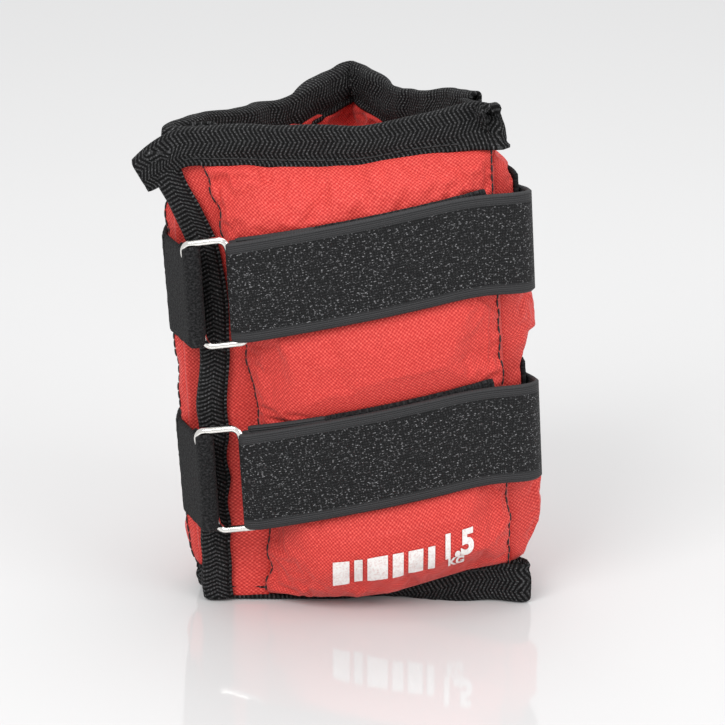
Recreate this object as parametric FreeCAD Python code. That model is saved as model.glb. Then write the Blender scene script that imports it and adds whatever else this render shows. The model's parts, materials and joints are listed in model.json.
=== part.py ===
import FreeCAD, Part
import math
import os

from FreeCAD import Vector

# An ankle cuff weight, closed round into the three-sided tube that it makes on the leg.
#
# The cuff is a row of three sand-filled pockets (front, right, rear) joined by flat seams. Each piece is built
# in the frame of its own pocket: x runs along the pocket from its first seam, -y is the outer side and z is up.
# The pockets are then set round the three sides of the tube, and the whole cuff leans, because the binding is
# folded under it along its left side. Lengths are in millimetres and angles in degrees.

# ---- The cuff ----
pocket_pitch = 85.0          # seam to seam, along the chord of a filled pocket
cuff_height = 156.0          # lower edge to upper edge
corner_turn = 120.0          # turn at the right seam, from the front pocket to the right one
ring_end_setback = 9.0       # how far the last seam lies behind the front pocket
folded_height = 7.6          # what still stands of the lower binding at the strap end, folded under the cuff

# ---- The pockets ----
outer_bulge = 14.0           # outer side, out from the flat seam
inner_bulge = 7.5            # leg side, in from the flat seam
end_rounding = 26.0          # height over which a pocket fills out from its end stitching
stitch_inset = 1.5           # end stitching of the pocket, in from the edge of the binding
seam_allowance = 1.6         # flat strip beside each seam
seam_gap = 0.4               # half of the gap left at a seam, where the fabric folds
mitre_angle = 30.0           # half of the corner angle that the leg side is cut back to

cover_thickness = 0.8        # coated woven outer cover
lining_thickness = 0.6       # woven lining on the leg side
bag_thickness = 0.4          # film bag that holds the sand
packing_clearance = 0.2      # between the cover and the bag, and the bag and the sand

# ---- The edge binding ----
binding_cover = 12.5         # how far the folded tape reaches over each face
binding_thickness = 1.3
sewn_clearance = 0.1         # between the binding and the fabric inside it
end_binding_cover = 8.0      # the same tape on the two ends, folded narrower

# ---- The two ends ----
strap_end_margin = 6.5       # flat margin past the front pocket's first seam
ring_end_margin = 10.0       # flat margin past the rear pocket's last seam
ring_end_start = 3.0         # where that margin starts, past the fold in it

# ---- The hook and loop straps ----
tape_width = 30.0
tape_thickness = 1.6
layer_gap = 0.3              # between the hook strap and the loop tape under it
strap_incline = 8.5          # the straps climb towards the right
lower_strap_height = 49.5    # middle of the strap at the ring
upper_strap_height = 109.0
strap_bar_offset = 6.2       # the ring's right bar, past the front pocket's first seam
anchor_length = 26.0         # sewn end of the strap
loop_end_inset = 3.0         # bare cover between the loop tape and a seam
fold_run = 8.0               # outer layer that turns with the fold
tail_length = 38.0           # the strap's free end, on the right pocket
bridge = 5.5                 # how far past the seam the sewn tape's curve would meet the chord

# ---- The rings ----
wire_diameter = 2.2
ring_window_width = 11.8
ring_window_clearance = 0.6  # window height over the tape's width
ring_corner_radius = 2.6     # centre line of the wire
bar_clearance = 0.7          # between the wire and the tape folded round it
tab_sewn_reach = 5.5         # how far past the left bar the folded end of the tab is sewn
ring_yaw = 15.0              # turn of the ring towards the rear pocket

strap_end_x = -(strap_end_margin + sewn_clearance + binding_thickness)
lean = math.degrees(math.asin((binding_cover - folded_height) / (pocket_pitch - strap_end_x)))
half_pitch = pocket_pitch / 2.0
half_width = half_pitch - seam_allowance
wire_radius = wire_diameter / 2.0
fold_radius = wire_radius + bar_clearance
ring_pitch = ring_window_width + wire_diameter
reach = 4.0 * cuff_height    # longer than anything in the cuff


def box(x0, x1, y0, y1, z0, z1):
    return Part.makeBox(x1 - x0, y1 - y0, z1 - z0, Vector(x0, y0, z0))


def prism(edges, direction):
    wire = Part.Wire(Part.__sortEdges__(edges))
    return Part.Face(wire).extrude(direction)


def segment(start, end):
    return Part.LineSegment(start, end).toShape()


# ---- Curves of a pocket's cross-section ----

def ellipse_depth(x, semi_x, semi_y):
    """Depth of an ellipse centred on the pocket, at x along the pocket."""
    return semi_y * math.sqrt(1.0 - ((x - half_pitch) / semi_x) ** 2)


def outer_section(semi_x, semi_y, z0, z1):
    """Half-ellipse prism on the outer side."""
    ellipse = Part.Ellipse(Vector(half_pitch, 0, z0), semi_x, semi_y)
    arc = Part.Arc(ellipse, math.pi, 2.0 * math.pi).toShape()
    chord = segment(Vector(half_pitch - semi_x, 0, z0), Vector(half_pitch + semi_x, 0, z0))
    return prism([arc, chord], Vector(0, 0, z1 - z0))


def inner_section(half_chord, rise, z0, z1):
    """Shallow circular prism on the leg side."""
    start = Vector(half_pitch - half_chord, 0, z0)
    end = Vector(half_pitch + half_chord, 0, z0)
    arc = Part.Arc(start, Vector(half_pitch, rise, z0), end).toShape()
    return prism([arc, segment(end, start)], Vector(0, 0, z1 - z0))


def end_profile(depth, z0, z1, rounding):
    """Prism along the pocket, whose ends round over to the flat; depth is negative on the outer side."""
    low_centre = Vector(0, 0, z0 + rounding)
    high_centre = Vector(0, 0, z1 - rounding)
    low_face = Vector(0, depth, z0 + rounding)
    high_face = Vector(0, depth, z1 - rounding)
    low_curve = Part.Ellipse(Vector(0, 0, z0), low_face, low_centre)
    high_curve = Part.Ellipse(Vector(0, 0, z1), high_face, high_centre)
    edges = [
        Part.Arc(low_curve, 0.0, math.pi / 2.0).toShape(),
        segment(low_face, high_face),
        Part.Arc(high_curve, 0.0, math.pi / 2.0).toShape(),
        segment(Vector(0, 0, z1), Vector(0, 0, z0)),
    ]
    return prism(edges, Vector(pocket_pitch, 0, 0))


def outer_pillow(inset, z0, z1):
    """Outer half of a filled pocket, drawn in by inset."""
    depth = outer_bulge - inset
    section = outer_section(half_width - inset, depth, z0 + inset, z1 - inset)
    return section.common(end_profile(-depth, z0 + inset, z1 - inset, end_rounding - inset))


def inner_pillow(inset, z0, z1):
    """Leg-side half of a filled pocket, drawn in by inset."""
    depth = inner_bulge - inset
    section = inner_section(half_width - 2.0 * inset, depth, z0 + inset, z1 - inset)
    return section.common(end_profile(depth, z0 + inset, z1 - inset, end_rounding - inset))


pocket_bottom = binding_cover + stitch_inset
pocket_top = cuff_height - binding_cover - stitch_inset
hem_inset = binding_thickness + sewn_clearance


def mitred(shape):
    """Keeps a pocket's piece inside its own side of each corner, so that the seams can fold and open flat."""
    rise = (half_pitch - seam_gap) * math.tan(math.radians(mitre_angle))
    points = [
        Vector(seam_gap, -reach, -reach),
        Vector(pocket_pitch - seam_gap, -reach, -reach),
        Vector(pocket_pitch - seam_gap, 0, -reach),
        Vector(half_pitch, rise, -reach),
        Vector(seam_gap, 0, -reach),
    ]
    outline = Part.makePolygon(points + points[:1])
    return shape.common(Part.Face(outline).extrude(Vector(0, 0, 2.0 * reach)))


# ---- Pieces of one pocket, in its own frame ----

def make_cover():
    hem = box(0, pocket_pitch, -cover_thickness, 0, hem_inset, cuff_height - hem_inset)
    shell = hem.fuse(outer_pillow(0.0, pocket_bottom, pocket_top))
    hollow = outer_pillow(cover_thickness, pocket_bottom, pocket_top)
    return mitred(shell.cut(hollow).removeSplitter())


def make_lining():
    hem = box(0, pocket_pitch, 0, lining_thickness, hem_inset, cuff_height - hem_inset)
    shell = hem.fuse(inner_pillow(0.0, pocket_bottom, pocket_top))
    hollow = inner_pillow(lining_thickness, pocket_bottom, pocket_top)
    return mitred(shell.cut(hollow).removeSplitter())


def filling(inset):
    outer_half = outer_pillow(cover_thickness + inset, pocket_bottom, pocket_top)
    inner_half = inner_pillow(cover_thickness + inset, pocket_bottom, pocket_top)
    return outer_half.fuse(inner_half).removeSplitter()


def make_bag():
    return filling(packing_clearance).cut(filling(packing_clearance + bag_thickness))


def make_sand():
    return filling(2.0 * packing_clearance + bag_thickness)


hem_front = -(cover_thickness + sewn_clearance)
hem_back = lining_thickness + sewn_clearance
binding_front = hem_front - binding_thickness
binding_back = hem_back + binding_thickness


def make_bottom_tape(x0, x1):
    return box(x0, x1, binding_front, binding_back, 0, binding_cover)


def make_bottom_slot(x0, x1):
    """Room for the fabric inside the lower binding, cut out once the cuff stands on its folded edge."""
    return box(x0 - 1.0, x1 + 1.0, hem_front, hem_back, binding_thickness, binding_cover + 1.0)


def make_top_binding(x0, x1):
    slot_top = cuff_height - binding_thickness
    tape = box(x0, x1, binding_front, binding_back, cuff_height - binding_cover, cuff_height)
    return tape.cut(box(x0 - 1.0, x1 + 1.0, hem_front, hem_back, cuff_height - binding_cover, slot_top))


# ---- The strap end, past the front pocket's first seam ----

def make_strap_end_margin():
    return box(-strap_end_margin, -seam_gap, -cover_thickness, lining_thickness, hem_inset, cuff_height - hem_inset)


def make_strap_end_binding():
    z0 = binding_cover + sewn_clearance
    z1 = cuff_height - z0
    tape = box(strap_end_x, strap_end_x + end_binding_cover, binding_front, binding_back, z0, z1)
    return tape.cut(box(strap_end_x + binding_thickness, half_pitch, hem_front, hem_back, z0, z1))


# ---- The ring end, folded in behind the front pocket: x starts at the rear pocket's last seam ----

def make_ring_end_margin():
    x1 = ring_end_start + ring_end_margin
    return box(ring_end_start, x1, -cover_thickness, lining_thickness, hem_inset, cuff_height - hem_inset)


ring_end_x = ring_end_start + ring_end_margin + sewn_clearance + binding_thickness


def make_ring_end_tape():
    return box(ring_end_x - end_binding_cover, ring_end_x, binding_front, binding_back, 0, cuff_height)


def make_ring_end_slot():
    x0 = ring_end_x - end_binding_cover - 1.0
    x1 = ring_end_x - binding_thickness
    return box(x0, x1, hem_front, hem_back, binding_thickness, cuff_height - binding_thickness)


# ---- Tapes and straps ----

sewn_x = half_pitch + bridge
sewn_y = outer_bulge + packing_clearance
bar_x = strap_bar_offset
bar_y = -(ellipse_depth(bar_x, sewn_x + tape_thickness, sewn_y + tape_thickness) + fold_radius)
run_y = sewn_y + tape_thickness + layer_gap
run_x = (half_pitch - bar_x) / math.sqrt(1.0 - ((fold_radius - bar_y) / run_y) ** 2)
corner_radius = ellipse_depth(pocket_pitch - seam_gap, run_x, run_y)
climb = (pocket_pitch - bar_x) * math.tan(math.radians(strap_incline))


def tape_layer(semi_x, semi_y):
    """A tape's thickness all along the outer side, full height."""
    outside = outer_section(semi_x + tape_thickness, semi_y + tape_thickness, 0, cuff_height)
    return outside.cut(outer_section(semi_x, semi_y, -1.0, cuff_height + 1.0))


def band(x0, x1, height, incline, pivot_x):
    """Region of the tape's width from x0 to x1 past pivot_x, climbing by incline."""
    half = tape_width / 2.0
    region = box(pivot_x + x0, pivot_x + x1, -reach, 0, height - half, height + half)
    region.rotate(Vector(pivot_x, 0, height), Vector(0, 1, 0), -incline)
    return region


def annulus_sector(centre, inner, outer, start_angle, end_angle, z0, z1):
    """Part of a vertical tube wall, between two angles counted from +x towards +y."""
    sweep = end_angle - start_angle
    height = z1 - z0
    wall = Part.makeCylinder(outer, height, Vector(centre.x, centre.y, z0), Vector(0, 0, 1), sweep)
    bore = Part.makeCylinder(inner, height, Vector(centre.x, centre.y, z0), Vector(0, 0, 1), sweep)
    sector = wall.cut(bore)
    sector.rotate(Vector(centre.x, centre.y, 0), Vector(0, 0, 1), start_angle)
    return sector


def strip(start, end, z0, z1):
    """Straight length of tape seen edge-on, from start to end."""
    along = end - start
    side = Vector(-along.y, along.x, 0).normalize() * (tape_thickness / 2.0)
    points = [start - side, end - side, end + side, start + side]
    corners = [Vector(p.x, p.y, z0) for p in points]
    return Part.Face(Part.makePolygon(corners + corners[:1])).extrude(Vector(0, 0, z1 - z0))


def inclined(shape, height):
    """Turns a piece built upright about the ring's right bar, square to the strap."""
    turned = shape.copy()
    turned.rotate(Vector(bar_x, bar_y, height), Vector(0, 1, 0), -strap_incline)
    return turned


def make_front_loop_tape(height):
    x0 = anchor_length + layer_gap
    return tape_layer(sewn_x, sewn_y).common(band(x0, pocket_pitch, height, strap_incline, bar_x)).common(
        box(0, pocket_pitch - loop_end_inset, -reach, 0, 0, cuff_height))


def make_right_loop_tape(height):
    region = band(loop_end_inset, pocket_pitch - loop_end_inset, height + climb, 0.0, 0.0)
    return tape_layer(sewn_x, sewn_y).common(region)


def make_rear_loop_tape(height, end_height):
    fall = math.degrees(math.atan2(height + climb - end_height, pocket_pitch))
    region = band(loop_end_inset, pocket_pitch - layer_gap, height + climb, -fall, 0.0)
    return tape_layer(sewn_x, sewn_y).common(region)


def make_anchor(height):
    region = band(sewn_clearance, anchor_length, height, strap_incline, bar_x)
    return tape_layer(sewn_x, sewn_y).common(region)


def make_fold(height):
    half = tape_width / 2.0
    turn = annulus_sector(
        Vector(bar_x, bar_y, 0), fold_radius, fold_radius + tape_thickness, 90.0, 270.0, height - half, height + half)
    run = tape_layer(run_x, run_y).common(band(0.0, fold_run, height, strap_incline, bar_x))
    return inclined(turn, height).fuse(run)


def make_front_run(height):
    region = band(fold_run + sewn_clearance, 2.0 * pocket_pitch, height, strap_incline, bar_x)
    side = box(0, pocket_pitch - seam_gap, -reach, 0, 0, cuff_height)
    return tape_layer(run_x, run_y).common(region).common(side)


def make_strap_corner(height):
    half = tape_width / 2.0
    low = height + climb - half
    high = height + climb + half
    return annulus_sector(
        Vector(pocket_pitch, 0, 0), corner_radius, corner_radius + tape_thickness, -90.0, corner_turn - 90.0, low, high)


def make_tail(height):
    return tape_layer(run_x, run_y).common(band(seam_gap, tail_length, height + climb, 0.0, 0.0))


def make_ring(height):
    window_height = tape_width + ring_window_clearance
    right = bar_x
    left = bar_x - ring_pitch
    half = (window_height + wire_diameter) / 2.0
    low = height - half
    high = height + half
    r = ring_corner_radius
    c = r * (1.0 - math.sqrt(0.5))

    def at(x, z):
        return Vector(x, bar_y, z)

    path = [
        segment(at(left + r, low), at(right - r, low)),
        Part.Arc(at(right - r, low), at(right - c, low + c), at(right, low + r)).toShape(),
        segment(at(right, low + r), at(right, high - r)),
        Part.Arc(at(right, high - r), at(right - c, high - c), at(right - r, high)).toShape(),
        segment(at(right - r, high), at(left + r, high)),
        Part.Arc(at(left + r, high), at(left + c, high - c), at(left, high - r)).toShape(),
        segment(at(left, high - r), at(left, low + r)),
        Part.Arc(at(left, low + r), at(left + c, low + c), at(left + r, low)).toShape(),
    ]
    start = at(left + r, low)
    section = Part.Wire(Part.makeCircle(wire_radius, start, Vector(1, 0, 0)))
    ring = Part.Wire(path).makePipeShell([section], True, False)
    ring.rotate(at(right, height), Vector(0, 0, 1), -ring_yaw)
    return inclined(ring, height)


def polar(centre, radius, angle):
    """Point at an angle in degrees round a centre, counted from +x towards +y."""
    return centre + Vector(math.cos(math.radians(angle)), math.sin(math.radians(angle)), 0) * radius


def bearing(vector):
    return math.degrees(math.atan2(vector.y, vector.x))


def make_ring_tab(height, rear_seam_end):
    """Loop tape folded round the ring's left bar, sewn to itself and carried back to the rear pocket."""
    half = tape_width / 2.0
    z0 = height - half
    z1 = height + half
    centre = polar(Vector(bar_x, bar_y, 0), ring_pitch, 180.0 - ring_yaw)
    middle = fold_radius + tape_thickness / 2.0
    away = rear_seam_end - centre
    outer_heading = bearing(away) - math.degrees(math.asin(middle / away.Length))
    outer_start = polar(centre, middle, outer_heading + 90.0)
    sewn_point = polar(polar(outer_start, tab_sewn_reach, outer_heading), tape_thickness, outer_heading - 90.0)
    back = sewn_point - centre
    inner_heading = bearing(back) + math.degrees(math.asin(middle / back.Length))
    inner_start = polar(centre, middle, inner_heading - 90.0)
    turn = annulus_sector(
        centre, fold_radius, fold_radius + tape_thickness, outer_heading + 90.0, inner_heading + 270.0, z0, z1)
    outer_leg = strip(outer_start, rear_seam_end, z0, z1)
    inner_leg = strip(inner_start, sewn_point, z0, z1)
    return inclined(turn.fuse(outer_leg).fuse(inner_leg).removeSplitter(), height)


# ---- Where the pockets stand round the tube: seam points in the front pocket's frame ----

first_seam = Vector(0, 0, 0)
right_seam = Vector(pocket_pitch, 0, 0)
turn_right = math.radians(corner_turn)
rear_seam = right_seam + Vector(math.cos(turn_right), math.sin(turn_right), 0) * pocket_pitch
rear_drop = rear_seam.y - ring_end_setback
last_seam = Vector(rear_seam.x - math.sqrt(pocket_pitch ** 2 - rear_drop ** 2), ring_end_setback, 0)
rear_heading = 180.0 + math.degrees(math.atan2(rear_drop, rear_seam.x - last_seam.x))


def at_seam(shape, origin, heading):
    """Moves a piece from its pocket's frame to its place in the front pocket's frame."""
    placed = shape.copy()
    placed.rotate(Vector(0, 0, 0), Vector(0, 0, 1), heading)
    placed.translate(origin)
    return placed


def rear_point(x, y):
    """A point given in the rear pocket's frame, in the front pocket's frame."""
    angle = math.radians(rear_heading)
    turned = Vector(x * math.cos(angle) - y * math.sin(angle), x * math.sin(angle) + y * math.cos(angle), 0)
    return rear_seam + turned


def build_pieces():
    """Every piece, upright in the front pocket's frame, and the room inside the bindings that meet the floor."""
    pieces = {}
    slots = {}
    places = {"front": (first_seam, 0.0), "right": (right_seam, corner_turn), "rear": (rear_seam, rear_heading)}
    for pocket, (origin, heading) in places.items():
        own = {
            "cover": make_cover(),
            "lining": make_lining(),
            "sand_bag": make_bag(),
            "iron_sand": make_sand(),
            "top_binding": mitred(make_top_binding(0, pocket_pitch)),
            "bottom_binding": mitred(make_bottom_tape(0, pocket_pitch)),
        }
        for name, shape in own.items():
            pieces[f"{pocket}_{name}"] = at_seam(shape, origin, heading)
        slots[f"{pocket}_bottom_binding"] = at_seam(make_bottom_slot(strap_end_x, pocket_pitch), origin, heading)

    front_top = pieces["front_top_binding"].fuse(make_top_binding(strap_end_x, seam_gap))
    front_bottom = pieces["front_bottom_binding"].fuse(make_bottom_tape(strap_end_x, seam_gap))
    pieces["front_top_binding"] = front_top.removeSplitter()
    pieces["front_bottom_binding"] = front_bottom.removeSplitter()
    pieces["strap_end_margin"] = make_strap_end_margin()
    pieces["strap_end_binding"] = make_strap_end_binding()
    pieces["ring_end_margin"] = at_seam(make_ring_end_margin(), last_seam, 0.0)
    pieces["ring_end_binding"] = at_seam(make_ring_end_tape(), last_seam, 0.0)
    slots["ring_end_binding"] = at_seam(make_ring_end_slot(), last_seam, 0.0)

    sewn_depth = ellipse_depth(pocket_pitch - layer_gap, sewn_x, sewn_y) + tape_thickness / 2.0
    tab_end = rear_point(pocket_pitch + layer_gap, -sewn_depth)
    for level, height in {"upper": upper_strap_height, "lower": lower_strap_height}.items():
        pieces[f"front_{level}_loop_tape"] = make_front_loop_tape(height)
        pieces[f"right_{level}_loop_tape"] = at_seam(make_right_loop_tape(height), right_seam, corner_turn)
        end_height = height - (bar_x - tab_end.x) * math.tan(math.radians(strap_incline))
        rear_tape = make_rear_loop_tape(height, end_height)
        pieces[f"rear_{level}_loop_tape"] = at_seam(rear_tape, rear_seam, rear_heading)
        pieces[f"{level}_ring"] = make_ring(height)
        pieces[f"{level}_ring_tab"] = make_ring_tab(height, tab_end)
        pieces[f"{level}_strap_anchor"] = make_anchor(height)
        pieces[f"{level}_strap_fold"] = make_fold(height)
        pieces[f"{level}_strap_run"] = make_front_run(height)
        pieces[f"{level}_strap_corner"] = make_strap_corner(height)
        pieces[f"{level}_strap_tail"] = at_seam(make_tail(height), right_seam, corner_turn)
    return pieces, slots


# ---- Standing the cuff on its lower edge ----

def leaned(shape, floor):
    """Leans a piece about the foot of the right seam, which stays on the floor, and trims it at a height."""
    standing = shape.copy()
    standing.rotate(right_seam, Vector(0, 1, 0), -lean)
    if standing.BoundBox.ZMin < floor:
        standing = standing.cut(box(-reach, reach, -reach, reach, -reach, floor))
    return standing


def stand_up(pieces, slots):
    """The folded binding rests on the floor, and the fabric ends just above the tape under it."""
    standing = {}
    for name, shape in pieces.items():
        if name in slots:
            standing[name] = leaned(shape, 0.0).cut(leaned(slots[name], binding_thickness))
        elif name.endswith("binding"):
            standing[name] = leaned(shape, 0.0)
        else:
            standing[name] = leaned(shape, hem_inset)
    return standing


def centre_of(shapes):
    """Middle of the tight box round all the pieces, on the floor."""
    bounds = FreeCAD.BoundBox()
    for shape in shapes:
        bounds.add(shape.optimalBoundingBox(False, False))
    return Vector(bounds.Center.x, bounds.Center.y, 0)


cuff = stand_up(*build_pieces())
centre = centre_of(cuff.values())

os.makedirs("parts", exist_ok=True)
for name, shape in cuff.items():
    shape.translate(-centre)
    shape.exportStep(os.path.join("parts", f"{name}.step"))
    print(f"{name}: {len(shape.Solids)} solid, valid {shape.isValid()}, {shape.Volume / 1000.0:.2f} cm3")
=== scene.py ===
import json
import logging
import math
from collections.abc import Callable
from dataclasses import dataclass, field
from enum import Enum

import bmesh
import bpy
import numpy as np
from mathutils import Matrix, Vector


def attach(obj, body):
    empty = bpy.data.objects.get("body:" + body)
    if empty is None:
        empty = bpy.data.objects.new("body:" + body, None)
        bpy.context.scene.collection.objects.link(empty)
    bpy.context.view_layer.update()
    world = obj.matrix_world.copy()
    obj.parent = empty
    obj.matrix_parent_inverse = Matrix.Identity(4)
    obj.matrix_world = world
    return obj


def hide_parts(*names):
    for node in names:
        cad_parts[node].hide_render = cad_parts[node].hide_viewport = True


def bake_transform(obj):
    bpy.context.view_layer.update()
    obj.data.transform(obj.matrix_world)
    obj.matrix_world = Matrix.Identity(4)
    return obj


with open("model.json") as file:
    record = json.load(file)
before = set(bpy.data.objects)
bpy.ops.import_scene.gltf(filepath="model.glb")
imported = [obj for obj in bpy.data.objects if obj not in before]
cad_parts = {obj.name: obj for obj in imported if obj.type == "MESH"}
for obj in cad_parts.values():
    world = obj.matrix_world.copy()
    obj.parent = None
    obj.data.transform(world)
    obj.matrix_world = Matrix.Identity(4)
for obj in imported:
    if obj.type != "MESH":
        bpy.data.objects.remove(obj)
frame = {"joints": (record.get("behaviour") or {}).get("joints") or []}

MM = 0.001
LOG = logging.getLogger("ankle_cuff")
Array = np.ndarray


# ---------------------------------------------------------------- where the pockets stand

class Pocket(Enum):
    """The three sand pockets, in order round the tube."""

    FRONT = "front"
    RIGHT = "right"
    REAR = "rear"

    @property
    def body(self) -> str:
        """Name of the CAD body that the pocket's pieces ride on."""
        return f"{self.value}_pocket"


class Level(Enum):
    """The two straps."""

    UPPER = "upper"
    LOWER = "lower"


@dataclass(frozen=True)
class Tube:
    """The closed cuff as the frame's joints place it.

    The foot is in metres in the row frame. Other lengths are in millimetres in the front pocket's frame.
    """

    foot: tuple[float, float, float]
    lean: float
    pitch: float
    corner: float
    rear_turn: float
    height: float = 156.0

    @classmethod
    def read(cls: type["Tube"], joints: dict[str, dict]) -> "Tube":
        """Reads the seams from the two seam joints.

        Args:
            joints: the frame's joints by name.

        Returns:
            The tube that those joints describe.
        """
        right, rear = joints["right_seam_fold"], joints["rear_seam_fold"]
        foot = np.array(right["pos_m"], float)
        pitch = float(np.linalg.norm(np.array(rear["pos_m"], float) - foot)) / MM
        axis = right["axis"]
        corner = math.radians(right["range_deg"][1])
        rear_turn = math.radians(rear["range_deg"][1])
        return cls(tuple(foot), math.atan2(axis[0], -axis[2]), pitch, corner, rear_turn)

    def heading(self, pocket: Pocket) -> float:
        """Direction of a pocket's length, counted from the front pocket's."""
        headings = {Pocket.FRONT: 0.0, Pocket.RIGHT: self.corner, Pocket.REAR: self.corner + self.rear_turn}
        return headings[pocket]

    def seam(self, pocket: Pocket) -> Array:
        """First seam of a pocket, in plan."""
        corner = np.array([self.pitch, 0.0])
        if pocket is Pocket.FRONT:
            return np.zeros(2)
        if pocket is Pocket.RIGHT:
            return corner
        return corner + self.pitch * np.array([math.cos(self.corner), math.sin(self.corner)])

    def plan(self, pocket: Pocket, along: Array, out: Array) -> Array:
        """Plan points for places along a pocket and out from its flat seam line."""
        turn = self.heading(pocket)
        x = np.asarray(along, float)
        y = -np.asarray(out, float)
        cos, sin = math.cos(turn), math.sin(turn)
        origin = self.seam(pocket)
        return np.stack([origin[0] + x * cos - y * sin, origin[1] + x * sin + y * cos], -1)

    def floor(self, plan_x: Array) -> Array:
        """Height of the floor over the cuff's own base line, at a plan x."""
        return (self.pitch - np.asarray(plan_x, float)) * math.tan(self.lean)

    def stand(self, points: Array, pocket: Pocket = Pocket.FRONT) -> Array:
        """Moves points from a pocket's own frame, in millimetres, to the row frame, in metres.

        Args:
            points: array whose last axis is x along the pocket, y inwards and z up.
            pocket: the pocket whose frame the points are in.

        Returns:
            The same points in the row frame.
        """
        plan = self.plan(pocket, points[..., 0], -points[..., 1])
        dx = plan[..., 0] - self.pitch
        z = points[..., 2]
        cos, sin = math.cos(self.lean), math.sin(self.lean)
        return np.stack([
            self.foot[0] + (dx * cos - z * sin) * MM,
            self.foot[1] + plan[..., 1] * MM,
            self.foot[2] + (dx * sin + z * cos) * MM,
        ], -1)

    def local(self, point: list[float]) -> Array:
        """A point of the row frame, back in the front pocket's frame."""
        dx, y, dz = (np.array(point, float) - np.array(self.foot)) / MM
        cos, sin = math.cos(self.lean), math.sin(self.lean)
        return np.array([dx * cos + dz * sin + self.pitch, y, -dx * sin + dz * cos])


# ---------------------------------------------------------------- small geometry helpers

def ease(values: Array, start: float, end: float) -> Array:
    """Smooth step from 0 at start to 1 at end."""
    t = np.clip((np.asarray(values, float) - start) / (end - start), 0.0, 1.0)
    return t * t * (3.0 - 2.0 * t)


def curve_through(positions: list[float], values: list[float], at: Array) -> Array:
    """Smooth curve through a few knots, by Catmull-Rom.

    Args:
        positions: rising positions of the knots.
        values: what the curve is at each knot.
        at: positions to read the curve at.

    Returns:
        The curve's values, held level past both ends.
    """
    p, v = np.array(positions, float), np.array(values, float)
    slope = np.gradient(v, p)
    x = np.clip(np.asarray(at, float), p[0], p[-1])
    k = np.clip(np.searchsorted(p, x) - 1, 0, len(p) - 2)
    step = p[k + 1] - p[k]
    t = (x - p[k]) / step
    a = 2 * t ** 3 - 3 * t ** 2 + 1
    b = t ** 3 - 2 * t ** 2 + t
    return a * v[k] + b * step * slope[k] + (1 - a) * v[k + 1] + (t ** 3 - t ** 2) * step * slope[k + 1]


def ripple(points: Array, wavelength: float, seed: int, count: int = 14) -> Array:
    """Smooth random field made of plane waves, about -1 to 1.

    Args:
        points: array whose last axis is the position.
        wavelength: typical length of a wave, in the unit of the points.
        seed: fixes the directions and phases.
        count: number of waves.

    Returns:
        One number for each point.
    """
    rng = np.random.default_rng(seed)
    size = points.shape[-1]
    total = np.zeros(points.shape[:-1])
    for _ in range(count):
        direction = rng.normal(size=size)
        direction *= 2 * math.pi / (np.linalg.norm(direction) * wavelength * rng.uniform(0.7, 1.5))
        total += np.sin(points @ direction + rng.uniform(0, 2 * math.pi))
    return total / math.sqrt(count / 2.0) / 1.6


def lengths(line: Array) -> Array:
    """Length along a polyline at each of its points."""
    steps = np.linalg.norm(np.diff(line, axis=0), axis=1)
    return np.concatenate([[0.0], np.cumsum(steps)])


def along(line: Array, at: Array) -> Array:
    """Points of a polyline at given lengths, carried straight on past its ends."""
    s = lengths(line)
    points = np.stack([np.interp(at, s, line[:, k]) for k in range(line.shape[1])], -1)
    first, last = line[0] - line[1], line[-1] - line[-2]
    first, last = first / np.linalg.norm(first), last / np.linalg.norm(last)
    before = np.clip(-at, 0.0, None)[..., None] * first
    past = np.clip(at - s[-1], 0.0, None)[..., None] * last
    return points + before + past


def smooth_line(knots: Array, step: float = 0.5, rounding: float = 3.0) -> Array:
    """Evenly spaced polyline through plan knots, with its corners rounded.

    Args:
        knots: corner points in plan.
        step: distance between the points of the result.
        rounding: about half the length of line that each corner takes.

    Returns:
        The polyline, with the same two ends.
    """
    total = lengths(knots)[-1]
    line = along(knots, np.linspace(0.0, total, max(8, int(total / step))))
    reach = max(1, int(rounding / step))
    ends = line[0].copy(), line[-1].copy()
    for _ in range(3):
        lead = line[0] + (line[0] - line[1]) * np.arange(reach, 0, -1)[:, None]
        tail = line[-1] + (line[-1] - line[-2]) * np.arange(1, reach + 1)[:, None]
        padded = np.concatenate([lead, line, tail])
        kernel = np.ones(2 * reach + 1) / (2 * reach + 1)
        line = np.stack([np.convolve(padded[:, k], kernel, "valid") for k in range(line.shape[1])], -1)
        line[0], line[-1] = ends
    return line


def refine(grid: Array) -> Array:
    """Doubles a grid both ways, with cubic midpoints."""
    for axis in (0, 1):
        g = np.moveaxis(grid, axis, 0)
        before = np.concatenate([2 * g[:1] - g[1:2], g[:-1]])
        after = np.concatenate([g[1:], 2 * g[-1:] - g[-2:-1]])
        middle = (9 * (g[:-1] + g[1:]) - before[:-1] - after[1:]) / 16.0
        out = np.empty((2 * len(g) - 1, *g.shape[1:]))
        out[0::2], out[1::2] = g, middle
        grid = np.moveaxis(out, 0, axis)
    return grid


def unit(vectors: Array) -> Array:
    """Vectors of length one."""
    return vectors / np.maximum(np.linalg.norm(vectors, axis=-1, keepdims=True), 1e-12)


def grid_normals(grid: Array) -> Array:
    """Unit normals of a grid, on the side of its first axis crossed with its second."""
    return unit(np.cross(np.gradient(grid, axis=0), np.gradient(grid, axis=1)))


def border(n: int, m: int) -> list[int]:
    """Indices round the edge of an n by m grid, in order."""
    low = [i * m for i in range(n)]
    far = [(n - 1) * m + j for j in range(1, m)]
    high = [i * m + m - 1 for i in range(n - 2, -1, -1)]
    near = [j for j in range(m - 2, 0, -1)]
    return low + far + high + near


def fit(piece: bpy.types.Object, body: str, slot: str, *nodes: str) -> None:
    """Puts a piece on a body, in place of any nodes it stands for.

    Args:
        piece: the finished piece.
        body: the CAD body that it moves with.
        slot: the record's material slot; not used.
        nodes: the CAD nodes that it replaces.
    """
    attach(piece, body)
    if nodes:
        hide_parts(*nodes)


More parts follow.
